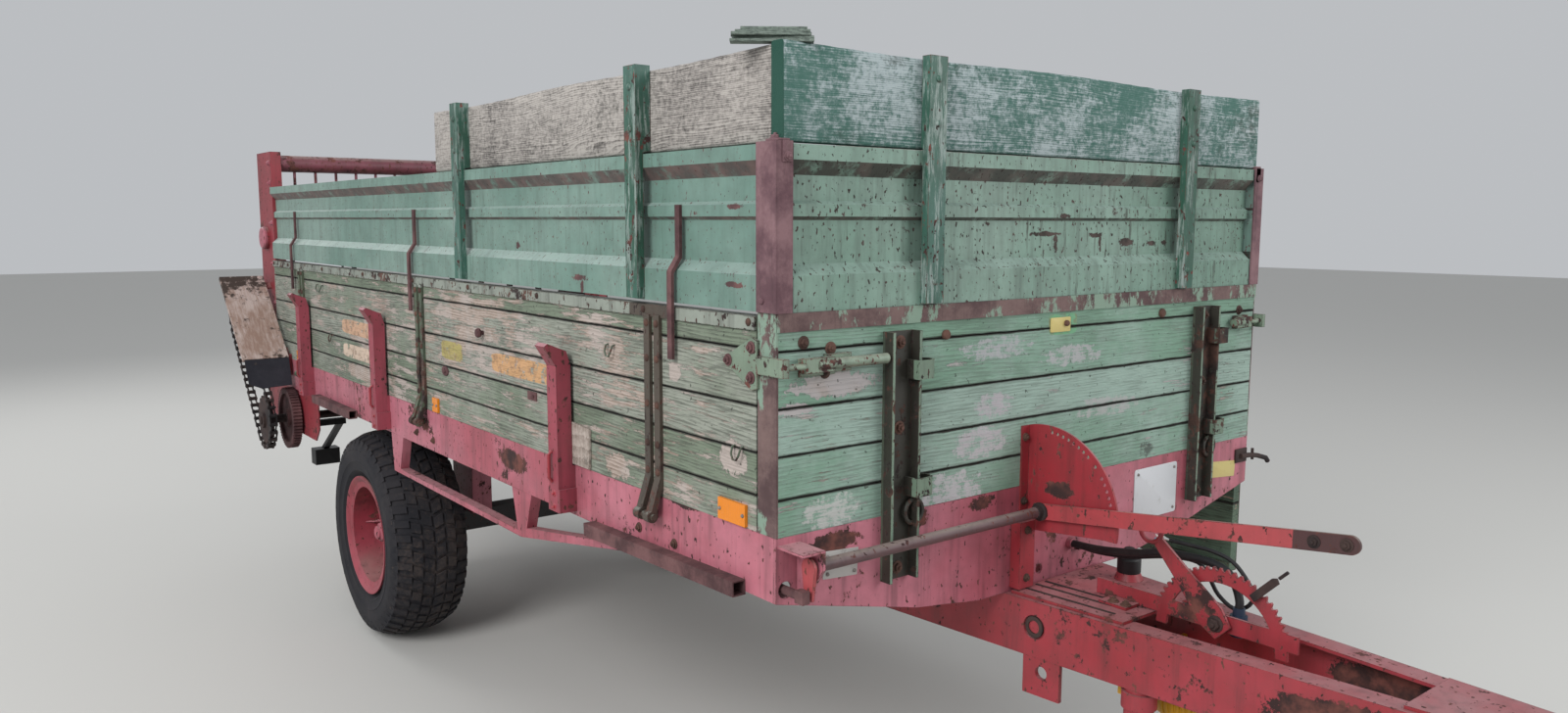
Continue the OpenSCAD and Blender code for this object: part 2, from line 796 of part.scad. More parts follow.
// Irons of one drop side, on the +x side and closed: the top angle, the end irons, the hinge
// straps of two bars each, and the eyes that the straps end in
module side_irons(pin_z, foot_z) {
  block(wood_in - iron_t, half_w + iron_t, side_y0, side_y1, wood_h, wood_h + 4);
  block(half_w, half_w + iron_t, side_y0, side_y1, wood_h - rail_iron_h + 4, wood_h + 4);
  for (y = [side_y0, side_y1 - 50])
    block(wood_in - iron_t, wood_in - slack, y, y + 50, foot_z, wood_h + 1);
  for (y = strap_ys, side = [-1, 1]) {
    yc = y + side * (strap_w + strap_gap) / 2;
    difference() {
      union() {
        block(half_w, half_w + iron_t + 4, yc - strap_w / 2, yc + strap_w / 2,
          foot_z + 20, wood_h - 20);
        run_bent_strap(yc, pin_z, foot_z);
        bar_y(yc - strap_w / 2, yc + strap_w / 2, pin_x, pin_z, hinge_d + 14);
      }
      bar_y(yc - strap_w, yc + strap_w, pin_x, pin_z, hinge_d + 0.1);
    }
  }
}

// The strap's foot, which bends out from the wood to the pin
module run_bent_strap(yc, pin_z, foot_z) {
  run_y(yc - strap_w / 2, yc + strap_w / 2) polygon([
    [half_w, foot_z + 30], [half_w, foot_z + 8], [half_w + 6, foot_z - 4],
    [pin_x - 10, pin_z + 2], [pin_x + 4, pin_z + 12], [half_w + iron_t + 4, foot_z + 30]]);
}

module right_planks() {
  color(old_green) at_box() on_right()
    plank_stack(wood_in, half_w - slack, side_y0, side_y1, plank_tops, slack);
}

module right_irons() {
  color(strap_green) at_box() on_right() {
    side_irons(right_pin_z, right_foot);
    hinge_pins(right_pin_z);
  }
}

// Hinge pins and the lugs on the rail between each strap's two bars
module hinge_pins(pin_z) {
  for (y = strap_ys) {
    bar_y(y - strap_w - strap_gap / 2 - 8, y + strap_w + strap_gap / 2 + 8, pin_x, pin_z,
      hinge_d);
    block(half_w + slack, pin_x, y - strap_gap / 2 + 1, y + strap_gap / 2 - 1,
      pin_z - 12, pin_z + 9);
  }
}

module left_sill() {
  color(old_green) at_box() {
    block(wood_in, half_w, side_y0, side_y1, slack, sill_h);
    hinge_pins(left_pin_z);
  }
}

// The left side hangs open: turned about its hinge pins from the closed place
module dropped() {
  translate([pin_x, 0, left_pin_z]) rotate([0, 180, 0]) translate([-pin_x, 0, -left_pin_z])
    children();
}

module left_planks() {
  color(old_green) at_box() dropped()
    plank_stack(wood_in, half_w - slack, side_y0, side_y1, left_tops, left_foot);
}

module left_irons() {
  color(strap_green) at_box() dropped() side_irons(left_pin_z, left_foot);
}

// Stakes in their collars, on the right side

stake_ys = [0.2284, 0.6010, 0.8534] * box_l;
bend_z = stake_h - 64;

module stakes() {
  color(lever_red) at_box() on_right() for (y = stake_ys) {
    stake_x = half_w + iron_t + 4;
    // collar round the stake, on the rail
    block(half_w + slack, stake_x + stake_d - 8, y - stake_w / 2 - 6, y + stake_w / 2 + 6,
      -rail_h + 14, -65);
    run_y(y - stake_w / 2, y + stake_w / 2) polygon([
      [half_w + slack, -rail_h + 14], [stake_x + stake_d - 8, -rail_h + 14],
      [stake_x + stake_d - 8, bend_z], [stake_x + stake_d + 26, stake_h - 8],
      [stake_x + stake_d + 16, stake_h], [stake_x + 12, stake_h - 24],
      [stake_x, bend_z], [stake_x, 0], [half_w + slack, -2]]);
  }
}

// Front wall

module front_planks() {
  color(old_green) at_box()
    plank_stack(-half_w + 6, half_w - 6, 0, plank_t, plank_tops, slack);
}

module corner_posts() {
  color(rusty) at_box() both_sides() {
    block(half_w - 6 + slack, half_w, 0, post_w, slack, ext_bottom - slack);
    block(half_w - 40, half_w, plank_t + slack, plank_t + 6, slack, ext_bottom - slack);
    block(-half_w + 2, 0, -4, -slack, wood_h - 26, ext_bottom);
    block(-half_w + 2, 0, -4, plank_t, wood_h + slack, ext_bottom);
  }
}

// Two upright channels on the front wall, each with two hoops and a handle

channel_xs = [-0.3147, 0.3447] * box_w;
channel_w = 92;
channel_depth = 34;
channel_bottom = -155;
channel_top = wood_h - 41;

hoop_zs = [65, 341];
hoop_h = 44;

// A round hoop whose two ends run to the channel's flank
module hoop_outline(w, r) {
  circle(r = r);
  translate([-w - 10, -r]) square([w + 10, 2 * r]);
}

module front_irons() {
  color(strap_green) at_box() for (x = channel_xs) {
    difference() {
      block(x - channel_w / 2, x + channel_w / 2, -channel_depth, -slack,
        channel_bottom, channel_top);
      block(x - channel_w / 2 + 8, x + channel_w / 2 - 8, -channel_depth - 1, -8,
        channel_bottom - 1, channel_top + 1);
    }
    for (z = hoop_zs) run_z(z - hoop_h / 2, z + hoop_h / 2)
      translate([x + channel_w / 2 + 14, -channel_depth + 8]) difference() {
        hoop_outline(30, 24);
        hoop_outline(24, 19);
      }
    translate([x + channel_w / 2 - 4, -18, 2]) rotate([90, 0, 0])
      rotate_extrude(angle = 360, $fn = 48) translate([28, 0]) circle(d = 11, $fn = 16);
  }
}

// Toggle latches across the front corners

latch_z = wood_h - 99;

latch_y = -20;
ring_r = 13;
ring_wire = 11;

// A sleeve with its clevis, a ring, and the clip round the corner
module corner_latch(l) {
  bar_x(half_w - l, half_w - 95, latch_y, latch_z, 24);
  block(half_w - 140, half_w - 58, latch_y - 8, latch_y + 8, latch_z - 16, latch_z + 16);
  block(half_w - l / 2 - 50, half_w - l / 2 + 20, -12, -slack, latch_z - 20, latch_z + 20);
  translate([half_w - 46, latch_y, latch_z]) rotate_extrude($fn = 32)
    translate([ring_r, 0]) circle(d = ring_wire, $fn = 16);
  bar_x(half_w - 34, half_w - 4, latch_y, latch_z, 14);
  block(half_w - 8, half_w + 8, -34, -8, latch_z - 20, latch_z + 20);
  block(half_w + slack, half_w + 8, -9, 60, latch_z - 20, latch_z + 20);
}

module corner_latches() {
  color(strap_green) at_box() {
    on_right() {
      corner_latch(300);
      // three-cornered plate that holds the clip on the closed side
      run_x(half_w + slack, half_w + 7) polygon([[58, latch_z - 52], [58, latch_z + 52],
        [80, latch_z + 58], [168, latch_z + 12], [168, latch_z - 12],
        [80, latch_z - 58]]);
    }
    corner_latch(150);
  }
}

// Pressed steel extension walls. The outline gives the distance outboard and the height share.

press_outline = [[0, 0], [0, 0.220], [-25, 0.288], [-25, 0.552], [-14, 0.574], [-14, 0.648],
  [-25, 0.670], [-25, 0.821], [0, 0.907], [0, 1]];

module pressed_wall() {
  outer = [for (p = press_outline) [p[0], p[1] * ext_h]];
  inner = [for (i = [len(outer) - 1 : -1 : 0]) outer[i] - [sheet_t, 0]];
  polygon(concat(outer, inner));
  translate([-40, ext_h - sheet_t]) square([40 - sheet_t + 0.01, sheet_t]);
  translate([-34, 0]) square([34 - sheet_t + 0.01, sheet_t]);
}

module side_extension() {
  translate([half_w, 0, ext_bottom + slack]) run_y(sheet_t + 1, box_l - slack) pressed_wall();
}

module side_extensions() { color(steel_green) at_box() both_sides() side_extension(); }

module front_extension() {
  color(steel_green) at_box() translate([0, 0, ext_bottom + slack])
    rotate([0, 0, -90]) run_y(-half_w + 45, half_w - 45) pressed_wall();
}

cover_t = 5;

module corner_covers() {
  color(rusty) at_box() both_sides() translate([0, 0, ext_bottom + slack]) {
    block(half_w + slack, half_w + cover_t, -cover_t, post_w, 0, ext_h + cap_t);
    block(half_w - 40, half_w + cover_t, -cover_t, -slack, 0, ext_h + cap_t);
    block(half_w - 34, half_w + 2, -cover_t, 40, ext_h + slack, ext_h + cap_t);
  }
}

// Loose boards on top, and the straps that hold boards and walls together

board_in = 22;

module top_boards() {
  color(grey_wood) at_box() {
    difference() {
      block(-half_w + board_in, half_w - board_in, 6, 6 + board_t, board_bottom, board_top);
      bar_y(-5, board_t + 20, 0, (board_bottom + board_top) / 2, board_hole_d);
    }
    both_sides() block(half_w - board_in - board_t, half_w - board_in, 6 + board_t + 2,
      board_l, board_bottom, board_top - 6);
  }
}

strap_board_w = 56;
strap_board_d = 20;
side_strap_ys = [0.2864, 0.8593] * board_l;
front_strap_xs = [-0.2632, 0.2816] * box_w;

module strap_outline() {
  polygon([[0, ext_bottom + 4], [strap_board_d, ext_bottom + 4], [strap_board_d, board_top],
    [-board_in + slack, board_top], [-board_in + slack, ext_top + 8], [0, ext_top + 4]]);
}

module board_straps() {
  color(strap_green) at_box() {
    both_sides() for (y = side_strap_ys)
      translate([half_w + slack, 0, 0])
        run_y(y - strap_board_w / 2, y + strap_board_w / 2) strap_outline();
    for (x = front_strap_xs) rotate([0, 0, -90])
      translate([slack, 0, 0])
        run_y(x - strap_board_w / 2, x + strap_board_w / 2) front_strap_outline();
  }
}

module front_strap_outline() {
  polygon([[0, ext_bottom + 4], [strap_board_d, ext_bottom + 4], [strap_board_d, board_top],
    [-6, board_top], [-6, ext_top + 8], [0, ext_top + 4]]);
}

// Cranked flat hooks that hang from the steel wall over the wooden side's rail

hook_ys = [0.0942, 0.5188, 0.9038] * box_l;
hook_w = 20;
hook_t = 8;
hook_top = ext_bottom + 231;
hook_bend = ext_bottom + 111;
hook_foot = wood_h - 119;

module crank_hooks() {
  color(rusty) at_box() on_right() for (y = hook_ys)
    run_y(y - hook_w / 2, y + hook_w / 2) translate([half_w, 0]) polygon([
      [-14 + slack, hook_top], [-14 + hook_t, hook_top], [-14 + hook_t, hook_bend],
      [10 + hook_t, hook_bend - 36], [10 + hook_t, hook_foot], [10, hook_foot],
      [10, hook_bend - 40], [-14 + slack, hook_bend - 4]]);
}

// Feed lever and its quadrant on the front wall

quadrant_x = -125;
pivot_y = -58;
pivot_z = -58;
quadrant_t = 6;
rest_lift = 7;

module quadrant() {
  color(lever_red) at_box() {
    difference() {
      run_x(quadrant_x - quadrant_t / 2, quadrant_x + quadrant_t / 2) intersection() {
        translate([pivot_y, pivot_z]) circle(r = quadrant_r + 16, $fn = 96);
        polygon([[-slack, quadrant_r], [-slack, pivot_z - 60], [-240, pivot_z - 36],
          [-300, pivot_z - 36], [-300, quadrant_r]]);
      }
      for (a = [for (i = [0 : 7]) 95 + i * 4.8, 137, for (i = [0 : 5]) 146 + i * 4.6])
        bar_x(quadrant_x - 10, quadrant_x + 10, pivot_y + quadrant_r * cos(a),
          pivot_z + quadrant_r * sin(a), 9);
      bar_x(quadrant_x - 10, quadrant_x + 10, pivot_y, pivot_z, cross_rod_d + 0.1);
    }
    // flange on the wall and the upright bracket below it
    block(quadrant_x - 31, quadrant_x - quadrant_t / 2 + 0.01, -5, -slack, pivot_z - 30, 158);
    block(quadrant_x - 60, quadrant_x - quadrant_t / 2 + 0.01, -32, -slack,
      -beam_top + 12, pivot_z - 30);
  }
}

lever_x = quadrant_x - quadrant_t / 2 - 6 - 4;
arm_x = rod_x + rod_d / 2 + 6;
arm_t = 8;
lever_h = 40;

module feed_lever() {
  color(lever_red) at_box() {
    bar_x(arm_x, quadrant_x + 12, pivot_y, pivot_z, cross_rod_d);
    translate([lever_x, pivot_y, pivot_z]) rotate([-rest_lift, 0, 0]) run_x(-4, 4)
      difference() {
        union() {
          translate([lever_h / 2 - lever_l, -lever_h / 2]) square([lever_l, lever_h]);
          translate([lever_h / 2 - lever_l, 0]) circle(d = lever_h);
        }
        translate([lever_h / 2 + 12 - lever_l, 0]) circle(d = 13);
      }
    bar_x(arm_x, arm_x + arm_t, pivot_y, pivot_z, 44);
    run_x(arm_x, arm_x + arm_t) polygon([[pivot_y - 22, pivot_z], [pivot_y + 22, pivot_z],
      [pivot_y + 12, rod_z - 12], [pivot_y - 12, rod_z - 12]]);
  }
}

// Push rod inside the right rail, from the lever's crank arm back to the feed drive

rod_rear = drive_y - 160;

module push_rod() {
  color(rusty) at_box() {
    bar_y(pivot_y + 4, rod_rear, rod_x, rod_z, rod_d);
    block(rod_x - rod_d / 2, rod_x + rod_d / 2, pivot_y - 14, pivot_y + 14, rod_z - 14,
      rod_z + 14);
  }
}

// Trusses that brace the side rails from below: two posts each and a long angle bar

truss_ys = [0.3101, 0.5817] * box_l;
truss_drop = 285;
truss_w = 34;
truss_t = 6;
truss_front = 0.101 * box_l;

module rail_trusses() {
  color(lever_red) at_box() both_sides() {
    truss_x = half_w - truss_w - 4;
    run_x(truss_x, truss_x + truss_w)
      polygon([[truss_front, -rail_h - slack], [truss_ys[0] + 10, -truss_drop - 12],
        [truss_ys[1] + 40, -truss_drop - 12], [truss_ys[1] + 60, -rail_h - slack],
        [truss_ys[1] - 75, -rail_h - slack], [truss_ys[1] - 30, -truss_drop + truss_t],
        [truss_ys[0] + 35, -truss_drop + truss_t], [truss_ys[0] + 70, -rail_h - slack],
        [truss_ys[0] - 70, -rail_h - slack], [truss_ys[0] - 30, -truss_drop + 24],
        [truss_front + 90, -rail_h - slack]]);
  }
}

// Square tubes on the outside of the right rail, and their clips

tube_s = 35;
// Front end and length as shares of the box's length, and slope
tube_runs = [[0.0267, 0.1683, -1.6], [0.6957, 0.1322, 0]];

module rail_tubes() {
  color(rusty) at_box() on_right() for (t = tube_runs)
    translate([half_w + slack, t[0] * box_l, -rail_h - 7]) rotate([t[2], 0, 0])
      square_tube(t[1] * box_l);
}

module square_tube(l) {
  difference() {
    cube([tube_s, l, tube_s]);
    translate([3, -1, 3]) cube([tube_s - 6, l + 2, tube_s - 6]);
  }
}

// Hand brake on the drawbar

brake_x = -30;
brake_y = -500;
brake_z = -beam_top - 14;
brake_r = 173;
brake_teeth = 26;
brake_foot = 24;
brake_lever_l = 232;
brake_pivot_z = brake_z + brake_foot + 20;

module brake_sector() {
  color(lever_red) at_box() {
    difference() {
      run_x(brake_x - 4, brake_x + 4) translate([brake_y, brake_z]) union() {
        difference() {
          circle(r = brake_r - 8, $fn = 96);
          circle(r = brake_r - 36, $fn = 96);
          translate([-300, -600]) square([600, 600]);
        }
        for (i = [0 : brake_teeth - 1])
          rotate(i * 150 / brake_teeth + 20) polygon([
            [brake_r - 12, -8], [brake_r, -4], [brake_r, 0], [brake_r - 12, 8]]);
        translate([-brake_r - 14, brake_foot]) square([2 * brake_r + 180, 40]);
      }
      bar_x(brake_x - 20, brake_x + 20, brake_y, brake_pivot_z, 20.1);
    }
    block(brake_x - 60, brake_x + 60, brake_y + brake_r + 40, brake_y + brake_r + 120,
      -beam_top + 8 + slack, -beam_top + 16);
  }
}

module brake_lever() {
  color(lever_red) at_box() {
    bar_x(brake_x - 24, brake_x + 12, brake_y, brake_pivot_z, 20);
    translate([brake_x - 16, brake_y, brake_pivot_z]) rotate([-45, 0, 0]) {
      run_x(-4, 4) polygon([[-24, -26], [26, -26], [36, 20], [22, 120], [13, brake_lever_l],
        [-13, brake_lever_l], [-24, 120], [-36, 20]]);
      translate([0, 0, brake_lever_l + 24]) rotate([0, 90, 0]) rotate_extrude($fn = 32)
        translate([28, 0]) circle(d = 12, $fn = 16);
    }
  }
}

// Free cables on the drawbar: routes from the glands on the front plate to their ends

lamp_route = [[60, -12, -190], [58, -90, -186], [50, -175, -172], [42, -235, -158],
  [36, -300, -140], [32, -385, -131], [30, -440, -132], [30, -482, -146], [30, -502, -175],
  [30, -512, -205], [30, -512, -222]];
spare_route = [[90, -12, -205], [88, -80, -205], [80, -180, -190], [70, -290, -160],
  [62, -380, -150], [60, -415, -180], [60, -440, -215], [60, -480, -238], [60, -515, -225],
  [58, -530, -195], [54, -515, -160], [48, -480, -122], [40, -430, -106], [36, -370, -104],
  [34, -320, -104]];
lamp_d = 20;
spare_d = 10;
cable_sides = 8;

function unit(v) = v / norm(v);
function between(a, b, c, d, t) = 0.5 * (2 * b + (c - a) * t + (2 * a - 5 * b + 4 * c - d) * t * t
  + (3 * b - a - 3 * c + d) * t * t * t);
function smooth(p) = concat([for (i = [0 : len(p) - 2]) for (t = [0, 0.5])
  between(p[max(i - 1, 0)], p[i], p[i + 1], p[min(i + 2, len(p) - 1)], t)], [p[len(p) - 1]]);
function heading(p, i, last_heading) = i == 0 ? [0, -1, 0] : i == len(p) - 1 ? last_heading
  : unit(p[i + 1] - p[i - 1]);
function ring(c, t, r) = let (side = unit(cross(t, [1, 0, 0])), up = cross(side, t))
  [for (k = [0 : cable_sides - 1]) c + r * (cos(360 * k / cable_sides) * side
    + sin(360 * k / cable_sides) * up)];

module cable(route, d, last_heading) {
  p = smooth(route);
  last = len(p) - 1;
  n = cable_sides;
  polyhedron([for (i = [0 : last]) each ring(p[i], heading(p, i, last_heading), d / 2)],
    concat([[for (k = [0 : n - 1]) k]], [[for (k = [n - 1 : -1 : 0]) last * n + k]],
      [for (i = [0 : last - 1]) for (k = [0 : n - 1]) each [
        [i * n + k, (i + 1) * n + k, (i + 1) * n + (k + 1) % n],
        [i * n + k, (i + 1) * n + (k + 1) % n, i * n + (k + 1) % n]]]));
}

module lamp_cable() { color(black_paint) at_box() cable(lamp_route, lamp_d, [0, 0, -1]); }
module spare_cable() { color(black_paint) at_box() cable(spare_route, spare_d, [0, 1, 0]); }

module lamp_plug() {
  end = lamp_route[len(lamp_route) - 1];
  color([0.12, 0.17, 0.24]) at_box() translate(end) mirror([0, 0, 1]) {
    cylinder(d = 28, h = 22);
    translate([0, 0, 18]) cylinder(d = 40, h = 30);
    translate([0, 0, 48 - 0.01]) cylinder(d = 34, h = 20);
  }
}

// Reflectors and lamps

// Middle as a share of the box's length, and width
reflector_places = [[0.0373, 105], [0.4731, 50], [0.9022, 50]];

module reflectors() {
  color([0.95, 0.60, 0.05]) at_box() on_right() for (p = reflector_places)
    block(half_w + slack, half_w + 8, p[0] * box_l - p[1] / 2, p[0] * box_l + p[1] / 2,
      4, 54);
}

lamp_y = box_l - 60;
lamp_x = half_w - 190;
lamp_z = -540;

module tail_lamps() {
  color(black_paint) at_box() both_sides() {
    block(lamp_x - 60, lamp_x + 60, lamp_y - 40, lamp_y + 40, lamp_z - 40, lamp_z + 40);
    run_x(lamp_x - 15, lamp_x + 15) polygon([[lamp_y + 20, lamp_z + 39],
      [lamp_y - 20, lamp_z + 39], [lamp_y - 330, -rail_h - 160],
      [lamp_y - 300, -rail_h - 160]]);
    block(lamp_x - 15, rear_x - rear_t - slack, lamp_y - 330, lamp_y - 300,
      -rail_h - 180, -rail_h - 150);
  }
}

side_rails();
cross_members();
front_cross_plate();
drawbar_beams();
tow_head();
drawbar_fittings();
jack_tube();
jack_leg();
axle();
axle_stands();
floor_boards();
scraper();
scraper_shafts();
rear_plates();
top_tube();
gearbox();
pto_shaft();
pto_guard();
drive_shaft();
roller_chains();
feed_wheel();
lower_beater();
upper_beater();
guard_board();
guard_flap();
guard_arms();
right_planks();
right_irons();
stakes();
left_sill();
left_planks();
left_irons();
front_planks();
corner_posts();
front_irons();
corner_latches();
side_extensions();
front_extension();
corner_covers();
top_boards();
board_straps();
crank_hooks();
quadrant();
feed_lever();
push_rod();
rail_trusses();
rail_tubes();
brake_sector();
brake_lever();
lamp_cable();
spare_cable();
lamp_plug();
reflectors();
tail_lamps();
right_hub();
right_rim();
right_tyre();
left_hub();
left_rim();
left_tyre();
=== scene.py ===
"""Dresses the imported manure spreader: cables, fine pieces, finishes, camera and light."""
import math

import bmesh
import bpy
from mathutils import Matrix, Vector


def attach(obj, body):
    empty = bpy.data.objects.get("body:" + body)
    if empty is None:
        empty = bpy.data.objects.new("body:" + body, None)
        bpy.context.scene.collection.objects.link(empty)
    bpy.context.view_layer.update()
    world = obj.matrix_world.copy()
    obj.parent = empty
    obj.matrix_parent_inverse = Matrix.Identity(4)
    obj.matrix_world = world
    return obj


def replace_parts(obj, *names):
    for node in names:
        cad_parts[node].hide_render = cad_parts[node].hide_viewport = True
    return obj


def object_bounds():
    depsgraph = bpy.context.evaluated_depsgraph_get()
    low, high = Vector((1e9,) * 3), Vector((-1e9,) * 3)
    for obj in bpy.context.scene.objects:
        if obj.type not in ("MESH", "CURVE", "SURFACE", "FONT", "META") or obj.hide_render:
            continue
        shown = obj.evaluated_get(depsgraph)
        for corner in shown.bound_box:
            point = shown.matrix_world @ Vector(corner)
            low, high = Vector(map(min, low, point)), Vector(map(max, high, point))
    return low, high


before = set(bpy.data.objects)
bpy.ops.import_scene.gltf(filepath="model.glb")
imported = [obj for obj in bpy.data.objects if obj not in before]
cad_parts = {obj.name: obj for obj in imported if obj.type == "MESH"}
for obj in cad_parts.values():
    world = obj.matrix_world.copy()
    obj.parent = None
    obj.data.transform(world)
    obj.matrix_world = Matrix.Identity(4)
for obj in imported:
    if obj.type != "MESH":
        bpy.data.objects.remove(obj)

cad_low, cad_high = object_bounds()

# Camera. It stands ahead of the box's right front corner, a little above the planks, and
# looks slightly down along the machine, as the photograph does.
camera = bpy.data.objects.new("camera", bpy.data.cameras.new("camera"))
bpy.context.scene.collection.objects.link(camera)
camera.location = (-2.3536, -0.0247, 1.0274)
camera.rotation_euler = (math.radians(90 - 7.013), 0, math.radians(-37.976))
camera.rotation_euler.rotate_axis("Z", math.radians(0.142))
camera.data.sensor_width = 36
camera.data.lens = 25.33
bpy.context.scene.camera = camera


# Free cables. The lamp cable is a thick rubber lead that ends in its plug, the spare one a
# thin lead with a bare end. Both leave glands in the front plate and hang over the drawbar's
# cover, round the brake sector.
def at(x, y, z):
    """A place in mm from the box, as the part's source counts, in the frame in metres."""
    return Vector((x / 1000, (y + 1800) / 1000, (z + 348.5) / 1000))


def run_cable(name, route, diameter):
    """A smooth tube through the route's points, as the source's own spline runs."""
    points = []
    for i in range(len(route) - 1):
        a, b, c, d = (Vector(route[min(max(i + k, 0), len(route) - 1)]) for k in (-1, 0, 1, 2))
        for t in (0, 0.25, 0.5, 0.75):
            points.append(0.5 * (2 * b + (c - a) * t + (2 * a - 5 * b + 4 * c - d) * t * t
                                 + (3 * b - a - 3 * c + d) * t ** 3))
    points.append(Vector(route[-1]))
    curve = bpy.data.curves.new(name, "CURVE")
    curve.dimensions = "3D"
    spline = curve.splines.new("POLY")
    spline.points.add(len(points) - 1)
    for point, place in zip(spline.points, points):
        point.co = (*at(*place), 1)
        point.radius = diameter / 2
    curve.bevel_depth = 1
    curve.bevel_resolution = 5
    curve.use_fill_caps = True
    piece = bpy.data.objects.new(name, curve)
    bpy.context.scene.collection.objects.link(piece)
    return piece, sum((b - a).length for a, b in zip(points, points[1:])) / 1000


lamp_route = [(60, -12, -190), (58, -90, -186), (50, -175, -172), (42, -235, -158),
              (36, -300, -140), (32, -385, -131), (30, -440, -132), (30, -482, -146),
              (30, -502, -175), (30, -512, -205), (30, -512, -222)]
lamp_cord, lamp_length = run_cable("lamp_cord", lamp_route, 0.020)
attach(lamp_cord, "chassis")
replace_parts(lamp_cord, "lamp_cable")

spare_route = [(90, -12, -205), (88, -80, -205), (80, -180, -190), (70, -290, -160),
               (62, -380, -150), (60, -415, -180), (60, -440, -215), (60, -480, -238),
               (60, -515, -225), (58, -530, -195), (54, -515, -160), (48, -480, -122),
               (40, -430, -106), (36, -370, -104), (34, -320, -104)]
spare_cord, spare_length = run_cable("spare_cord", spare_route, 0.010)
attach(spare_cord, "chassis")
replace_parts(spare_cord, "spare_cable")


def add_node(tree, kind, inputs=None, out=0, **settings):
    """Adds a node with its settings, sets or links its inputs, and gives one output."""
    node = tree.nodes.new("ShaderNode" + kind)
    for name, value in settings.items():
        setattr(node, name, value)
    for key, value in (inputs or {}).items():
        if isinstance(value, bpy.types.NodeSocket):
            tree.links.new(value, node.inputs[key])
        else:
            node.inputs[key].default_value = value
    return node.outputs[out]


def rgb(code):
    """An sRGB hex code as a linear colour with alpha."""
    parts = [int(code[i:i + 2], 16) / 255 for i in (1, 3, 5)]
    return [v / 12.92 if v <= 0.04045 else ((v + 0.055) / 1.055) ** 2.4 for v in parts] + [1]


def own(tree, kind, axis):
    """One axis of the piece's own Normal or Object coordinates."""
    return add_node(tree, "SeparateXYZ", {0: add_node(tree, "TexCoord", out=kind)}, axis)


def clouds(tree, size, stretch=(1, 1, 1), detail=6, rough=0.6, shift=(0, 0, 0)):
    """Uneven clouds about size mm across; an axis with a low stretch draws them out."""
    place = add_node(tree, "Mapping", {"Vector": add_node(tree, "TexCoord", out="Object"),
                                       "Scale": stretch, "Location": shift})
    return add_node(tree, "TexNoise", {"Vector": place, "Scale": 1000 / size,
                                       "Detail": detail, "Roughness": rough})


def weighed(tree, *pairs):
    """The sum of values times their weights."""
    total = None
    for value, weight in pairs:
        if weight != 1:
            value = add_node(tree, "Math", {0: value, 1: weight}, operation="MULTIPLY")
        total = value if total is None else add_node(tree, "Math", {0: total, 1: value},
                                                     operation="ADD")
    return total


def passed(tree, low, high, *pairs):
    """0 up to low, 1 from high on, and smooth between, for the pairs' weighed sum."""
    return add_node(tree, "MapRange", {"Value": weighed(tree, *pairs), "From Min": low,
                                       "From Max": high}, interpolation_type="SMOOTHSTEP")


def both(tree, *shares):
    """How far all the shares hold at one place: their product."""
    product = shares[0]
    for share in shares[1:]:
        product = add_node(tree, "Math", {0: product, 1: share}, operation="MULTIPLY")
    return product


def laid_over(tree, colour, layer, *shares):
    """A colour with another laid over it where all the shares hold."""
    colour, layer = (rgb(c) if isinstance(c, str) else c for c in (colour, layer))
    return add_node(tree, "Mix", {0: both(tree, *shares), 6: colour, 7: layer}, 2,
                    data_type="RGBA")


def start_finish(name):
    """A new material and its node tree."""
    material = bpy.data.materials.new(name)
    material.use_nodes = True
    return material, material.node_tree


def set_finish(tree, colour, rough, height, strength, depth):
    """Gives the shader its colour and roughness, and bumps about depth mm deep."""
    shader = tree.nodes["Principled BSDF"]
    bumps = add_node(tree, "Bump", {"Height": height, "Strength": strength,
                                    "Distance": depth / 1000})
    for name, value in (("Base Color", colour), ("Roughness", rough), ("Normal", bumps)):
        if isinstance(value, bpy.types.NodeSocket):
            tree.links.new(value, shader.inputs[name])
        else:
            shader.inputs[name].default_value = value


def dress(material, *names):
    """Gives CAD nodes their finish."""
    for name in names:
        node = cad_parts[name]
        node.data.materials.clear()
        node.data.materials.append(material)


def dusty_rubber(name, dark, dust, amount, rough=0.85, tread=None):
    """Rubber under a film of dust, with splashes of dried mud, and soil in a tyre's tread."""
    material, tree = start_finish(name)
    film = passed(tree, 0.42, 0.74, (clouds(tree, 250, detail=10, rough=0.72), 1))
    colour = laid_over(tree, dark, dust, film, amount)
    if tread:
        sideways = add_node(tree, "Math", {0: own(tree, "Normal", 0)}, operation="ABSOLUTE")
        soil = passed(tree, 0.46, 0.60,
                      (clouds(tree, 200, detail=8, rough=0.66, shift=(2, 2, 9)), 0.55),
                      (clouds(tree, 18.18, rough=0.7), 0.45))
        colour = laid_over(tree, colour, tread, passed(tree, 0.75, 0.35, (sideways, 1)), soil,
                           0.75)
    mud = passed(tree, 0.62, 0.70,
                 (clouds(tree, 58.82, detail=8, rough=0.75, shift=(4, 1, 6)), 1))
    colour = laid_over(tree, colour, "#6B5A4B", mud, amount)
    set_finish(tree, colour, rough, weighed(tree, (clouds(tree, 11.11), 0.5), (mud, 0.5)),
               0.4, 2)
    return material


# Extruded rubber sheath: nearly black and satin, greyed by dust
cable_rubber = dusty_rubber("cable_sheath", "#16171B", "#4A4846", 0.5, 0.6)
dress(cable_rubber, "lamp_cable", "spare_cable")
for cord in (lamp_cord, spare_cord):
    cord.data.materials.append(cable_rubber)


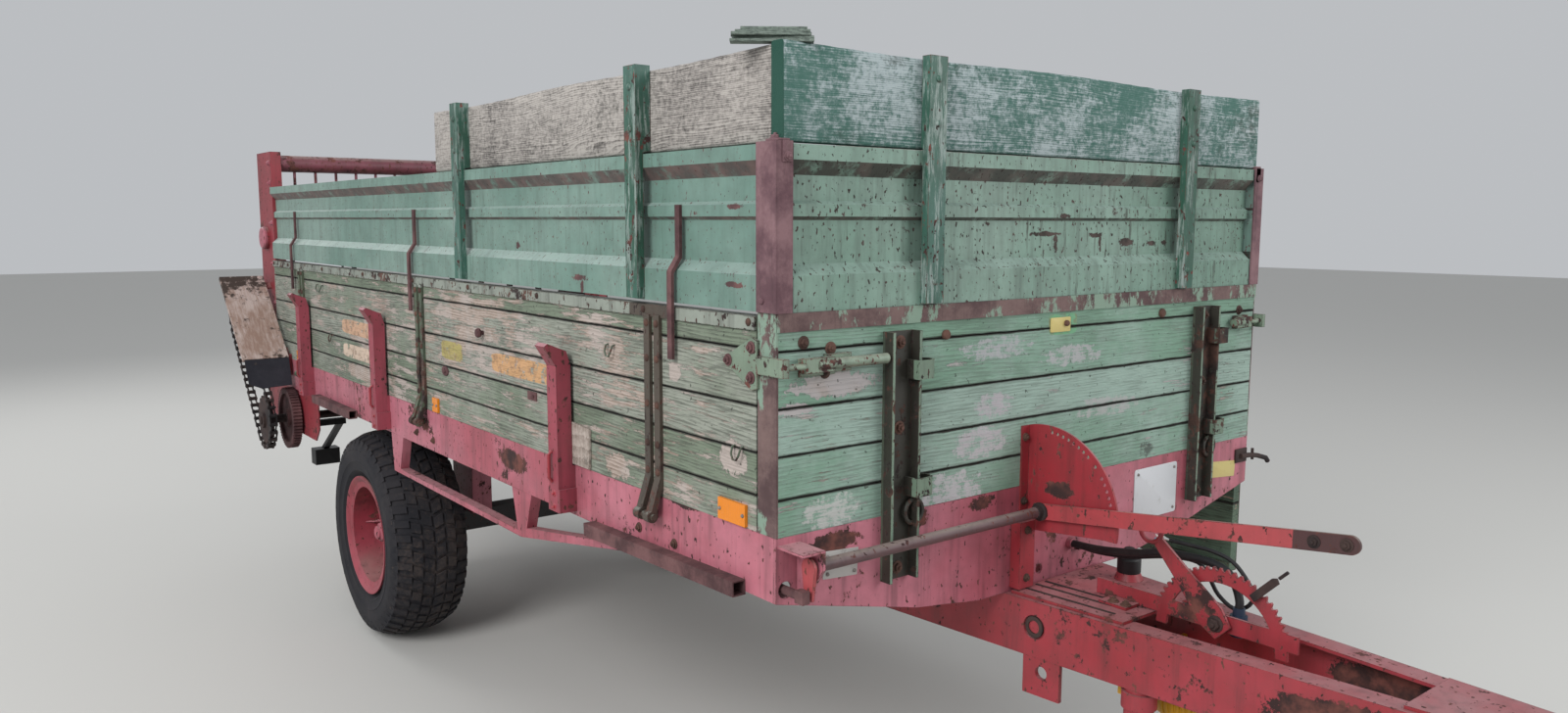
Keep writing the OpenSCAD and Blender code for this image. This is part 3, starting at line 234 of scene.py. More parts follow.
# Cable ends. The plug is moulded from dark blue plastic. Out of the spare cable's cut end come
# three thin wires in white and light blue sleeves.
def moulded_plastic(name, code, worn_code, rough, rib_pitch=0):
    """Moulded plastic with scuffs of a duller tone, with fine ribs where a pitch is given."""
    material, tree = start_finish(name)
    scuffs = passed(tree, 0.56, 0.70, (clouds(tree, 33.33, detail=9, rough=0.75), 1))
    colour = laid_over(tree, code, worn_code, scuffs, 0.5)
    height = clouds(tree, 3.333, detail=3)
    if rib_pitch:
        turns = weighed(tree, (own(tree, "Object", 1), math.tau * 1000 / rib_pitch))
        ribs = add_node(tree, "Math", {0: turns}, operation="SINE")
        height = weighed(tree, (height, 0.2), (ribs, 0.5))
    set_finish(tree, colour, rough, height, 0.25, 1)
    return material


def join(bm, part):
    """Moves a finished part into the piece's mesh."""
    store = bpy.data.meshes.new("part")
    part.to_mesh(store)
    part.free()
    bm.from_mesh(store)
    bpy.data.meshes.remove(store)


def add_rod(bm, route, radius, sides=8):
    """A bent round rod through places in mm."""
    part = bmesh.new()
    places = [at(*p) for p in route]
    last = None
    for i, place in enumerate(places):
        ahead = (places[min(i + 1, len(places) - 1)] - places[max(i - 1, 0)]).normalized()
        side = ahead.cross(Vector((0.31, 0.42, 0.85))).normalized()
        turned = Matrix((side, side.cross(ahead), -ahead)).transposed().to_4x4()
        circle = bmesh.ops.create_circle(part, cap_ends=False, radius=radius * 0.001,
                                         segments=sides,
                                         matrix=Matrix.Translation(place) @ turned)
        rim = list({e for v in circle["verts"] for e in v.link_edges})
        if last:
            bmesh.ops.bridge_loops(part, edges=last + rim)
        last = rim
    bmesh.ops.holes_fill(part, edges=part.edges[:], sides=0)
    join(bm, part)


def add_piece(name, bm, material, body, angle=32):
    """Makes the mesh an object that rides on a body."""
    bmesh.ops.recalc_face_normals(bm, faces=bm.faces[:])
    mesh = bpy.data.meshes.new(name)
    bm.to_mesh(mesh)
    bm.free()
    mesh.materials.append(material)
    mesh.polygons.foreach_set("use_smooth", [True] * len(mesh.polygons))
    mesh.set_sharp_from_angle(angle=math.radians(angle))
    piece = bpy.data.objects.new(name, mesh)
    bpy.context.scene.collection.objects.link(piece)
    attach(piece, body)
    return piece


# Moulded plug plastic: dull blue, lighter where it is rubbed
dress(moulded_plastic("plug_plastic", "#253447", "#3E4B5A", 0.45), "lamp_plug")
cut_end = (34, -322, -104)
# Sleeves of soft PVC: even and half matt, hardly soiled
wires = [("#D8D6CF", (26, -285, -96)), ("#D8D6CF", (44, -290, -92)),
         ("#7FA9C4", (34, -278, -108))]
for k, (code, tip) in enumerate(wires):
    bm = bmesh.new()
    add_rod(bm, [cut_end, (34 + (tip[0] - 34) * 0.4, -306, -102),
                 (34 + (tip[0] - 34) * 0.8, -294, (tip[2] - 104) / 2 - 2), tip], 2.2, 6)
    sleeve = moulded_plastic("wire_sleeve_%d" % k, code, "#8D8A84", 0.5)
    add_piece("bare_wire_%d" % (k + 1), bm, sleeve, "chassis")


# Chassis. Rails, cross members, front plate, axle stands and trusses are rolled channel and
# folded plate, welded up and painted. The square tubes under the rails have lost their paint.
def between(tree, axis, low, high):
    """1 where one coordinate lies between two levels in mm from the box."""
    place = own(tree, "Object", axis)
    over = add_node(tree, "Math", {0: place, 1: at(low, low, low)[axis]},
                    operation="GREATER_THAN")
    return both(tree, over, add_node(tree, "Math", {0: place, 1: at(high, high, high)[axis]},
                                     operation="LESS_THAN"))


def patch(tree, axis, corners, ragged, facing, power=2, soft=0.07):
    """1 inside a torn place of one face; corners are low and high in mm from the box."""
    edge = None
    for part, low, high in ((axis, corners[0], corners[2]), (2, corners[1], corners[3])):
        middle, half = (low + high) / 2, (high - low) / 2000
        away = own(tree, "Object", part)
        for operation, value in (("SUBTRACT", at(middle, middle, middle)[part]),
                                 ("DIVIDE", half), ("ABSOLUTE", 0), ("POWER", power)):
            away = add_node(tree, "Math", {0: away, 1: value}, operation=operation)
        edge = away if edge is None else weighed(tree, (edge, 1), (away, 1))
    level = 0.87 + 3.0 * ragged
    inside = passed(tree, level + soft, level - soft, (edge, 1),
                    (clouds(tree, 76.92, detail=10, rough=0.75, shift=(corners[0] / 97, 1, 2)),
                     3.0 * ragged), (clouds(tree, 14.29, rough=0.7), 3.0 * ragged))
    return both(tree, inside, passed(tree, -0.3, -0.7, (own(tree, "Normal", facing), 1)))


def sharp_edges(tree, radius):
    """1 along the edges of the shape, 0 on its faces; radius in mm."""
    rounded = add_node(tree, "Bevel", {"Radius": radius / 1000}, samples=4)
    flat = add_node(tree, "NewGeometry", out="Normal")
    same = add_node(tree, "VectorMath", {0: rounded, 1: flat}, "Value",
                    operation="DOT_PRODUCT")
    return passed(tree, 0.98, 0.80, (same, 1))


def worn_paint(name, paint, faded, chips, rust=("#33201F", "#6E4038"), edge=0.10,
               runs=0.35, rust_and_shade_below=0.35, dust="#A39A90", dust_and_highlight_share=0.7, pits=0.64, fleck=13.33,
               streaks=0.0, tails=0.0, zones=(), patches=()):
    """Machine enamel on steel: it fades in clouds, turns paler on top, partly dust and partly a
    painted highlight, takes runs of dirt down its sides, and chips to rust at edges, in pits of
    fleck mm, and in patches. Faces that look down turn to rust, partly real rust and partly
    painted shade."""
    material, tree = start_finish(name)
    colour = laid_over(tree, paint, faded,
                       passed(tree, 0.36, 0.66, (clouds(tree, 666.7, detail=5), 1)))
    if streaks:
        rubbed = clouds(tree, 83.33, (4, 4, 0.5), detail=11, rough=0.78, shift=(1, 6, 2))
        colour = laid_over(tree, colour, "#A9B4B0", passed(tree, 0.50, 0.60, (rubbed, 1)),
                           streaks)
    for axis, low, high, code in zones:
        colour = laid_over(tree, colour, code, between(tree, axis, low, high))
    mottle = passed(tree, 0.35, 0.7, (clouds(tree, 76.92, detail=8, rough=0.7), 1))
    colour = laid_over(tree, colour, "#3B3531", mottle, 0.22)
    # Paler where the face looks up: partly dust, partly a painted highlight on upper faces and
    # slopes
    upwards = passed(tree, 0.4, 0.9, (own(tree, "Normal", 2), 1))
    colour = laid_over(tree, colour, dust, upwards, clouds(tree, 125, detail=7), dust_and_highlight_share)
    drips = clouds(tree, 384.6, (10, 10, 0.6), detail=8, rough=0.68)
    colour = laid_over(tree, colour, "#2B2724", passed(tree, 0.46, 0.72, (drips, 1)), runs)
    if tails:
        where = passed(tree, 0.42, 0.60, (clouds(tree, 588.2, detail=4, shift=(7, 7, 1)), 1))
        tail = clouds(tree, 20.83, (1.5, 1.5, 0.13), detail=5, shift=(4, 4, 4))
        colour = laid_over(tree, colour, "#3A4036", passed(tree, 0.56, 0.68, (tail, 1)),
                           where, tails)
    brown = laid_over(tree, *rust, passed(tree, 0.40, 0.64,
                                          (clouds(tree, 66.67, detail=7), 1)))
    # Rust where the face looks down: partly real rust, partly painted shade under ledges and
    # slopes
    below = passed(tree, -0.2, -0.6, (own(tree, "Normal", 2), 1))
    damp = passed(tree, 0.34, 0.50, (clouds(tree, 71.43, detail=9, rough=0.72), 1))
    colour = laid_over(tree, colour, brown, below, damp, rust_and_shade_below)
    worn = passed(tree, chips, chips + 0.02,
                  (clouds(tree, 41.67, detail=10, rough=0.74), 0.5),
                  (clouds(tree, 277.8, detail=5, shift=(3, 1, 7)), 0.55),
                  (sharp_edges(tree, 4), edge))
    small = clouds(tree, fleck, (1, 1, 0.6), detail=3, rough=0.5, shift=(9, 2, 4))
    for more in ([passed(tree, pits, pits + 0.03, (small, 1))]
                 + [patch(tree, *row) for row in patches]):
        worn = add_node(tree, "Math", {0: worn, 1: more}, operation="MAXIMUM")
    colour = laid_over(tree, colour, brown, worn)
    dull = add_node(tree, "MapRange", {"Value": worn, "To Min": 0.5, "To Max": 0.92})
    height = weighed(tree, (worn, -0.7), (clouds(tree, 7.143, detail=4), 0.3),
                     (clouds(tree, 45.45, detail=3), 0.3))
    set_finish(tree, colour, dull, height, 0.55, 1.6)
    return material


# Red machine enamel that the sun has bleached to a chalky pink. A patch row gives the axis
# along the face, its corners, how torn it is, and the axis that the face looks along.
chassis_paint = worn_paint(
    "faded_red_paint", "#A5505D", "#BA717F", chips=0.60, runs=0.45, rust_and_shade_below=0.55, pits=0.645,
    dust="#A88C8C", dust_and_highlight_share=0.9,
    patches=[(1, (1232, -95, 1446, -28), 0.8, 0), (1, (290, -10, 430, 24), 0.9, 0),
             (0, (-580, -50, -490, 4), 0.8, 1), (0, (-350, -44, -250, 0), 0.9, 1),
             (1, (2080, -80, 2130, -30), 0.9, 0), (0, (-870, -60, -700, -12), 0.9, 1)])
dress(chassis_paint, "side_rails", "cross_members", "front_cross_plate", "axle_stands",
      "rail_trusses")


def rusty_metal(name, dark, light, paint=None, cover=0.6, rough=0.85):
    """Iron rusted all over, darker in streaks, with remains of paint where given. The rust's
    grit is drawn coarser than it is, so that it shows."""
    material, tree = start_finish(name)
    tint = passed(tree, 0.36, 0.66, (clouds(tree, 125, detail=9, rough=0.72), 1))
    streak = clouds(tree, 333.3, (12, 12, 0.8), detail=8, rough=0.7)
    colour = laid_over(tree, laid_over(tree, dark, light, tint), "#221A19",
                       passed(tree, 0.5, 0.75, (streak, 1)), 0.5)
    if paint:
        left = clouds(tree, 142.9, (1, 1, 0.45), detail=9, rough=0.75, shift=(2, 5, 1))
        colour = laid_over(tree, colour, paint, passed(tree, cover, cover + 0.03, (left, 1)))
    height = weighed(tree, (clouds(tree, 8.333, detail=8, rough=0.7), 0.6),
                     (clouds(tree, 55.56, detail=4), 0.5))
    set_finish(tree, colour, rough, height, 0.6, 2)
    tree.nodes["Principled BSDF"].inputs["Metallic"].default_value = 0.1
    return material


# Mild steel rusted to an even red-brown scale, with crumbs of green paint left
rusty = rusty_metal("rusty_iron", "#452C2E", "#735050", "#7C8D80", 0.66)
dress(rusty, "rail_tubes")


# Drawbar. Two channel beams run together at the tow head under welded cover plates, which are
# bolted down in two rows. A cone with a black plastic cup stands on the rear cover, beside
# raised weld seams, and the tow eye's faces are worn to bright rings.
RIGHT, LEFT, FRONT, UP, BACK = (-1, 0, 0), (1, 0, 0), (0, -1, 0), (0, 0, 1), (0, 1, 0)


def add_turned(bm, place, normal, profile, sides, turn=0, ring=False):
    """A turned form: (radius, height) in mm along normal, capped or closed to a ring."""
    part = bmesh.new()
    dots = [part.verts.new((radius, 0, height)) for radius, height in profile]
    lines = [part.edges.new(pair) for pair in zip(dots, dots[1:] + dots[:ring])]
    bmesh.ops.spin(part, geom=dots + lines, cent=(0, 0, 0), axis=(0, 0, 1), angle=math.tau,
                   steps=sides, use_merge=True)
    if not ring:
        bmesh.ops.holes_fill(part, edges=part.edges[:], sides=0)
    facing = Vector(normal).to_track_quat("Z", "Y").to_matrix().to_4x4()
    bmesh.ops.transform(part, verts=part.verts[:], matrix=Matrix.Translation(place) @ facing
                        @ Matrix.Scale(0.001, 4) @ Matrix.Rotation(turn, 4, "Z"))
    join(bm, part)


def add_bolt(bm, place, normal, across, washer):
    """A hexagon head with its thread's end on a washer, each turned a little differently."""
    add_turned(bm, place, normal, [(washer / 2, -1), (washer / 2, 2),
                                   (washer / 2 - 1, 2.6)], 14)
    r = across / 2 / math.cos(math.pi / 6)
    turn = (37 * place[0] + 91 * place[1] + 53 * place[2]) % 1
    add_turned(bm, place, normal, [(r, 1), (r, across * 0.42), (r * 0.86, across * 0.5)], 6,
               turn)
    add_turned(bm, place, normal, [(across * 0.26, across * 0.4), (across * 0.26, across * 0.7),
                                   (across * 0.2, across * 0.76)], 8)


def add_plate(bm, outline, thickness, place, across, up, bevel=0.0, corner=0.0):
    """A flat plate: an outline in mm along two directions, from a place, with a thickness."""
    across, up = Vector(across), Vector(up)
    out = across.cross(up)
    part = bmesh.new()
    face = part.faces.new([part.verts.new(place + (across * x + up * y) * 0.001)
                           for x, y in outline])
    lifted = bmesh.ops.extrude_face_region(part, geom=[face])["geom"]
    bmesh.ops.translate(part, vec=out * thickness * 0.001,
                        verts=[v for v in lifted if isinstance(v, bmesh.types.BMVert)])
    if corner:
        upright = [e for e in part.edges
                   if abs((e.verts[1].co - e.verts[0].co).normalized().dot(out)) > 0.9]
        bmesh.ops.bevel(part, geom=upright, offset=corner * 0.001, segments=4, profile=0.5,
                        affect="EDGES", material=-1)
    if bevel:
        bmesh.ops.bevel(part, geom=part.edges[:], offset=bevel * 0.001, segments=2,
                        profile=0.5, affect="EDGES", material=-1, clamp_overlap=True)
    join(bm, part)


# Younger coat of red enamel: deeper and less chalky, scraped to rust on the beams' webs
red_paint = worn_paint("red_paint", "#94262F", "#A33A44", chips=0.615, pits=0.65,
                       dust="#A07A7C", dust_and_highlight_share=1.1,
                       patches=[(1, (-1150, -410, -660, -290), 0.5, 0),
                                (1, (-150, -20, -60, 30), 0.9, 0)])
dress(red_paint, "drawbar_beams", "drawbar_fittings", "tow_head")
# Zinc-coated bolts whose coat is gone: dark rust, with green paint brushed over by chance
bolt_iron = rusty_metal("bolt_rust", "#33241F", "#63453A", "#5E7B6A", 0.64)
# Black iron that never had paint, or lost it: greasy, dark and only faintly brown
dark_iron = rusty_metal("dark_rusty_iron", "#231D1F", "#44332F")
# Mild steel rubbed bright in use, so it is grey and the least rough of the irons
steel = rusty_metal("worn_steel", "#6A6460", "#8B8580", rough=0.55)
# Black ABS: even and half matt, with grey scuffs
lamp_plastic = moulded_plastic("lamp_plastic", "#161618", "#2E2E30", 0.55)

bm = bmesh.new()
for y in (-1610, -1500, -1400, -1310):
    for side in (-1, 1):
        add_bolt(bm, at(side * (45 + (y + 1660) * 0.12), y, -263.7), UP, 24, 38)
add_piece("drawbar_bolts", bm, bolt_iron, "chassis")

bm = bmesh.new()
seam = [(0, -4), (262, -4), (262, 4), (0, 4)]
for x in (-150, -104, -66):
    add_plate(bm, seam, 2.5, at(x, -22, -268.5), (0.08, -1, 0), (1, 0.08, 0), 0.8)
# A ring of dark iron inside the hole in the beam's web, round the cross pin: a painted shadow in
# the hole
hole_shadow_ring = [(17, -2), (28, -2), (28, 3.5), (17, 3.5)]
add_turned(bm, at(-190, -90, -344), RIGHT, hole_shadow_ring, 28, ring=True)
add_piece("drawbar_seams_and_hole_shadow", bm, dark_iron, "chassis")

bm = bmesh.new()
add_turned(bm, at(130, -142, -268), UP, [(38, 0), (36, 4), (31, 16), (29, 20)], 28)
add_piece("red_cone", bm, red_paint, "chassis")
bm = bmesh.new()
cup = [(30, 0), (31, 3), (31, 36), (28, 40), (17, 42), (16, 62), (12, 66)]
add_turned(bm, at(130, -142, -249), UP, cup, 28)
add_piece("black_cup", bm, lamp_plastic, "chassis")

bm = bmesh.new()
wear_ring = [(21, 0), (30, 0), (29, 2.5), (22, 2.5)]
for z, way in ((-332.5, UP), (-364.5, (0, 0, -1))):
    add_turned(bm, at(0, -1800, z), way, wear_ring, 32, ring=True)
add_piece("eye_wear_rings", bm, steel, "chassis")

# Parking jack. A painted steel tube stands on the right beam, with a turned collar at either
# end and a locking pin, and the bright steel leg slides in it.
dress(red_paint, "jack_tube")
dress(steel, "jack_leg")
jack_x, jack_y, pin_z = -137.3, -366, -739
bm = bmesh.new()
for z, outer, height in ((-470, 42, 40), (-751, 40, 24)):
    add_turned(bm, at(jack_x, jack_y, z), UP,
               [(35.5, 0), (outer, 0), (outer, height), (35.5, height)], 28, ring=True)
add_rod(bm, [(jack_x - 58, jack_y, pin_z), (jack_x - 38, jack_y, pin_z)], 7)
add_rod(bm, [(jack_x - 58, jack_y, pin_z), (jack_x - 64, jack_y - 14, pin_z - 5),
             (jack_x - 64, jack_y - 40, pin_z - 5)], 3.5)
add_piece("jack_collars", bm, red_paint, "chassis")

# Parking brake. A toothed sector of thick plate is bolted to the drawbar's cover, and the
# lever swings on it with a pawl of flat iron and its release wire.
dress(red_paint, "brake_sector", "brake_lever")
pivot = (-50, -500, -246)
lean = math.radians(45)
along_y, along_z = -math.sin(lean), math.cos(lean)
bm = bmesh.new()
add_bolt(bm, at(*pivot), RIGHT, 24, 40)
pawl = [(-9, 118), (9, 118), (10, 190), (4, 200), (-8, 196)]
add_plate(bm, pawl, 6, at(*pivot), (0, along_z, -along_y), (0, along_y, along_z), 1)
add_rod(bm, [(pivot[0] - 6, pivot[1] + r * along_y, pivot[2] + r * along_z)
             for r in (210, 236)], 4)
add_piece("brake_trim", bm, dark_iron, "brake_lever")
bm = bmesh.new()
for y in (-275, -240):
    for x in (-74, 14):
        add_bolt(bm, at(x, y, -260), UP, 17, 28)
add_piece("brake_foot_bolts", bm, bolt_iron, "chassis")

# Feed control. The quadrant is a welded box of red plate, and the long lever of flat iron
# turns the cross rod, which moves the push rod in the right rail. The lever's grip is worn to
# rust, and so is its root.
dress(red_paint, "quadrant")
dress(rusty, "push_rod")
# Red enamel on a much handled lever: bright along the middle, brown at grip and root
dress(worn_paint("lever_red_paint", "#A53A40", "#AE4A4E", chips=0.60, pits=0.635,
                 zones=[(0, -900, -146, "#5A4345"), (1, -900, -715, "#4A2C2D")]),
      "feed_lever")
lever_x, pivot_y, pivot_z = -142, -58, -58
lean = math.radians(7)
bm = bmesh.new()
for grip_y in (765, 832):
    reach = grip_y + pivot_y
    add_bolt(bm, at(lever_x, pivot_y - reach * math.cos(lean),
                    pivot_z + reach * math.sin(lean)), RIGHT, 17, 28)
add_turned(bm, at(lever_x, pivot_y, pivot_z), RIGHT,
           [(24, 0), (24, 5), (16, 6), (16, 20), (13, 22)], 18)
add_piece("feed_lever_trim", bm, dark_iron, "feed_lever")
bm = bmesh.new()
for x, y, z in ((-144, -5, 128), (-144, -5, -40), (-158, -32, -110), (-158, -32, -236)):
    add_bolt(bm, at(x, y, z), FRONT, 15, 22)
add_piece("quadrant_bolts", bm, bolt_iron, "chassis")

# Drive line. The input shaft is a bright forging with six splines, under a yellow plastic
# guard with ribs all round, and the cross shaft behind carries the chain wheel.
dress(steel, "pto_shaft")
dress(dark_iron, "drive_shaft")
# Yellow polyethylene guard: waxy, browned by grease
guard_plastic = moulded_plastic("guard_plastic", "#BF8F22", "#8F6E28", 0.5)
dress(guard_plastic, "pto_guard")
shaft_z, splines = -470, 6
spline = [(-3.5, 0), (3.5, 0), (3.5, 84), (-3.5, 84)]
bm = bmesh.new()
for k in range(splines):
    c, s = math.cos(math.tau * k / splines), math.sin(math.tau * k / splines)
    add_plate(bm, spline, 3.5, at(16.5 * c, -470, shaft_z + 16.5 * s), (-s, 0, c), BACK, 0.4)
add_piece("pto_splines", bm, steel, "pto_shaft")
cone_mouth, cone_narrowing, rib_gap = 80, 20 / 130, 17
bm = bmesh.new()
for k in range(7):
    back = 6 + k * rib_gap
    r = cone_mouth - cone_narrowing * back
    add_turned(bm, at(0, -490 + back, shaft_z), BACK,
               [(r - 1, 0), (r + 3, 1), (r + 3, 7), (r - 1, 8)], 36, ring=True)
for k in range(3):
    add_turned(bm, at(0, -360 + 24 * k, shaft_z), BACK,
               [(54, 0), (58, 1), (58, 8), (54, 9)], 36, ring=True)
add_piece("guard_ribs", bm, guard_plastic, "chassis")

# Axle and wheels. A square axle tube in black paint carries turned hubs and pressed rims, each
# rim held by six cone nuts on studs. A turned grease cap closes the hub, and the tyre's valve
# sticks out of the rim.

# Black machine enamel: deep and half matt, greyed where it faces up, partly by dust and partly
# as a painted highlight
black_paint = worn_paint("black_paint", "#1C1C1F", "#2B292B", chips=0.61, dust="#5B544C")
dress(black_paint, "axle")
# Wheel enamel: stoved on, so it keeps its red longer than the brushed chassis does
dress(worn_paint("wheel_red_paint", "#92323F", "#A54C58", chips=0.62, runs=0.35, pits=0.66,
                 rust_and_shade_below=0.5), "right_hub", "right_rim", "left_hub", "left_rim")
axle_y, axle_z, track_half = 2944, -673, 780
stud_circle, cap_circle = 95, 52


def make_wheel_trim(name, side, body):
    """A wheel's cone nuts on their studs, its grease cap with six screws, and its valve."""
    bm = bmesh.new()
    out = (side, 0, 0)
    for k in range(6):
        turn = math.tau * (k + 0.5) / 6
        place = at(side * (track_half - 11), axle_y + stud_circle * math.cos(turn),
                   axle_z + stud_circle * math.sin(turn))
        add_turned(bm, place, out, [(16, -1), (16, 3), (13.5, 9)], 14)
        add_turned(bm, place, out, [(13.5, 3), (13.5, 15), (11.5, 18)], 6, turn)
        add_turned(bm, place, out, [(7.5, 15), (7.5, 26), (6, 28)], 10)
    add_turned(bm, at(side * 850, axle_y, axle_z), out,
               [(43, -12), (43, 4), (40, 12), (33, 17), (31, 17), (29, 26), (20, 31), (6, 33)],
               28)
    for k in range(6):
        turn = math.tau * k / 6
        place = at(side * 842, axle_y + cap_circle * math.cos(turn),
                   axle_z + cap_circle * math.sin(turn))
        add_turned(bm, place, out, [(6, -4), (6, 5), (5, 6)], 6, turn)
    valve = at(side * (track_half + 40), axle_y + 196, axle_z)
    add_turned(bm, valve, (side, 0.35, 0),
               [(6, -40), (6, 10), (4, 14), (4, 30), (5, 31), (5, 38)], 10)
    add_piece(name, bm, chassis_paint, body)


make_wheel_trim("right_wheel_trim", -1, "right_wheel")
make_wheel_trim("left_wheel_trim", 1, "left_wheel")

# Tyres. A moulded rubber carcass with ribbed walls carries six rows of low road lugs, set
# askew and out of step. The outer rows wrap the shoulders and taper down the walls.

# Tyre rubber: black and dull, dusty on the walls, with soil pressed into the tread
rubber = dusty_rubber("tyre_rubber", "#15151C", "#3A3536", 0.5, tread="#453B37")
dress(rubber, "right_tyre", "left_tyre")
wall = [(229, 112), (229, 124), (259, 128), (268, 134), (280, 150), (284, 153), (288, 152),
        (318, 158), (322, 161), (326, 159), (352, 160), (380, 158), (398, 150), (416, 128),
        (427, 94), (437, 60)]
inside = [(280, 122), (350, 132), (404, 112), (414, 50)]
pitches = 46


def crown_radius(offset):
    """The tyre's outer radius in mm at a distance from its centre plane."""
    x = abs(offset)
    if x <= 62:
        return 444.6
    if x <= 132:
        return 444.6 - (x - 62) * 0.2
    return 430.6 - (x - 132) * 1.2


def make_tyre(name, centre_x, body, node):
    """A tyre: the carcass turned as one ring, and the lugs set round it pitch by pitch."""
    bm = bmesh.new()
    centre = at(centre_x, axle_y, axle_z)
    section = ([(r, -x) for r, x in wall] + wall[::-1] + inside
               + [(r, -x) for r, x in inside[::-1]])
    add_turned(bm, centre, LEFT, section, 96, ring=True)

    def round_tyre(x, degrees, r):
        turn = math.radians(degrees)
        return centre + Vector((x, r * math.cos(turn), r * math.sin(turn))) * 0.001

    def lug(x0, x1, start, width, skew, depth=13.0):
        """A block from offset x0 to x1; angles in degrees, skewed across, narrower on top."""
        middle, aim = (x0 + x1) / 2, start + (skew + width) / 2
        for v in bmesh.ops.create_cube(bm, size=2)["verts"]:
            across, later, out = v.co
            x = x1 if across > 0 else x0
            angle = start + (skew if across > 0 else 0) + (width if later > 0 else 0)
            if out > 0:
                x, angle = middle + (x - middle) * 0.93, aim + (angle - aim) * 0.88
            v.co = round_tyre(x, angle, crown_radius(x) - (0 if out > 0 else depth))

    def lug_foot(sign, start):
        """The tapered foot of a lug, which runs down the tyre's wall."""
        for v in bmesh.ops.create_cube(bm, size=2)["verts"]:
            outer, later, up = (part > 0 for part in v.co)
            x = (146 if up else 160.5) if outer else (138 if up else 150)
            r = (crown_radius(146) if up else 372) if outer else (400 if up else 366)
            angle = (5.4 if up else 5.0) if later else (1.2 if up else 2.0)
            v.co = round_tyre(sign * x, start + angle, r)

    pitch = 360 / pitches
    for k in range(pitches):
        start = pitch * k
        for sign in (-1, 1):
            shoulder = start if sign > 0 else start + pitch / 2
            lug(sign * 94, sign * 148, shoulder, pitch * 0.56, sign * 1.2, 16)
            lug(sign * 52, sign * 90, shoulder + pitch * 0.35, pitch * 0.74, sign * 1.6)
            lug_foot(sign, shoulder)
        lug(-44, -4, start + pitch * 0.15, pitch * 0.8, 2.2)
        lug(4, 44, start + pitch * 0.6, pitch * 0.8, -2.2)
    piece = add_piece(name, bm, rubber, body, 28)
    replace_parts(piece, node)


make_tyre("right_tread_tyre", -track_half, "right_wheel", "right_tyre")
make_tyre("left_tread_tyre", track_half, "left_wheel", "left_tyre")


# Gearbox. A cast iron case in black paint hangs between the rear plates. It has a bolted rear
# cover with a shaft cap and a drain plug below.
def rectangle(w, h):
    """The outline of a plate w wide and h high in mm, round its middle."""
    return [(-w / 2, -h / 2), (w / 2, -h / 2), (w / 2, h / 2), (-w / 2, h / 2)]


dress(black_paint, "gearbox")
bm = bmesh.new()
add_plate(bm, rectangle(196, 250), 9, at(0, 4043, -400), LEFT, UP, 2)
for x in (-84, 0, 84):
    for z in (-512, -290):
        add_bolt(bm, at(x, 4042, z), BACK, 17, 24)
shaft_cap = [(52, 0), (52, 8), (44, 16), (16, 18), (14, 26)]
add_turned(bm, at(0, 4042, -440), BACK, shaft_cap, 28)
add_bolt(bm, at(0, 3930, -559), (0, 0, -1), 24, 36)
add_piece("gearbox_trim", bm, black_paint, "chassis")


# Chain drive. Each roller chain runs round two sprockets, link by link: waisted side plates,
# inner and outer by turns, riveted over pins and rollers. The feed wheel is a rusty casting.
def belt(a, b, ra, rb):
    """Length of a belt round two circles, and the place at a length along it."""
    gap = math.dist(a, b)
    along = math.atan2(b[1] - a[1], b[0] - a[0])
    lean = math.acos((ra - rb) / gap)
    arcs = (math.tau - 2 * lean) * ra, 2 * lean * rb
    run = math.sqrt(gap ** 2 - (ra - rb) ** 2)

    def place(s):
        s %= arcs[0] + arcs[1] + 2 * run
        if s < arcs[0]:
            c, r, ang = a, ra, along + lean + s / ra
        elif s < arcs[0] + run:
            t = (s - arcs[0]) / run
            c = [a[i] + (b[i] - a[i]) * t for i in (0, 1)]
            r, ang = ra + (rb - ra) * t, along - lean
        elif s < arcs[0] + run + arcs[1]:
            c, r, ang = b, rb, along - lean + (s - arcs[0] - run) / rb
        else:
            t = (s - arcs[0] - run - arcs[1]) / run
            c = [b[i] + (a[i] - b[i]) * t for i in (0, 1)]
            r, ang = rb + (ra - rb) * t, along + lean
        return c[0] + r * math.cos(ang), c[1] + r * math.sin(ang)

    return arcs[0] + arcs[1] + 2 * run, place


# Greased chain steel: nearly black, brown where the grease has gone
chain_steel = rusty_metal("chain_steel", "#1B191B", "#3A2E2A", rough=0.6)
dress(chain_steel, "roller_chains")
dress(rusty, "feed_wheel")
link_pitch, link_end, link_waist = 41.4, 11.5, 7.5
chains = bmesh.new()
# Offset to the side, the two sprockets' centres (y, z), and their pitch radii
for x, a, b, ra, rb in ((-1080, (3905, -290), (4370, 188), 132.3, 145.5),
                        (986, (4300, 585), (4370, 188), 93.0, 93.0)):
    length, place_at = belt(a, b, ra, rb)
    count = round(length / link_pitch)
    pins = [place_at(length / count * (k + 0.5)) for k in range(count)]
    for k, (y, z) in enumerate(pins):
        add_turned(chains, at(x - 20, y, z), LEFT, [(4, 0), (5, 1), (5, 39), (4, 40)], 8)
        add_turned(chains, at(x - 9, y, z), LEFT, [(9, 0), (9, 18)], 10)
        next_y, next_z = pins[(k + 1) % count]
        ahead = Vector((0, next_y - y, next_z - z)).normalized()
        span = math.hypot(next_y - y, next_z - z)
        outline = []
        for centre, sign in ((0, -1), (span, 1)):
            for degrees in (-75, -38, 0, 38, 75):
                t = math.radians(degrees)
                outline.append((centre + sign * link_end * math.cos(t),
                                sign * link_end * math.sin(t)))
            outline.append((span / 2, sign * link_waist))
        for shift in (-17.5, 14) if k % 2 else (-13.2, 9.7):
            add_plate(chains, outline, 3.5, at(x + shift, y, z), ahead,
                      Vector((1, 0, 0)).cross(ahead))
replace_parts(add_piece("link_chains", chains, chain_steel, "chassis"),
            "roller_chains")


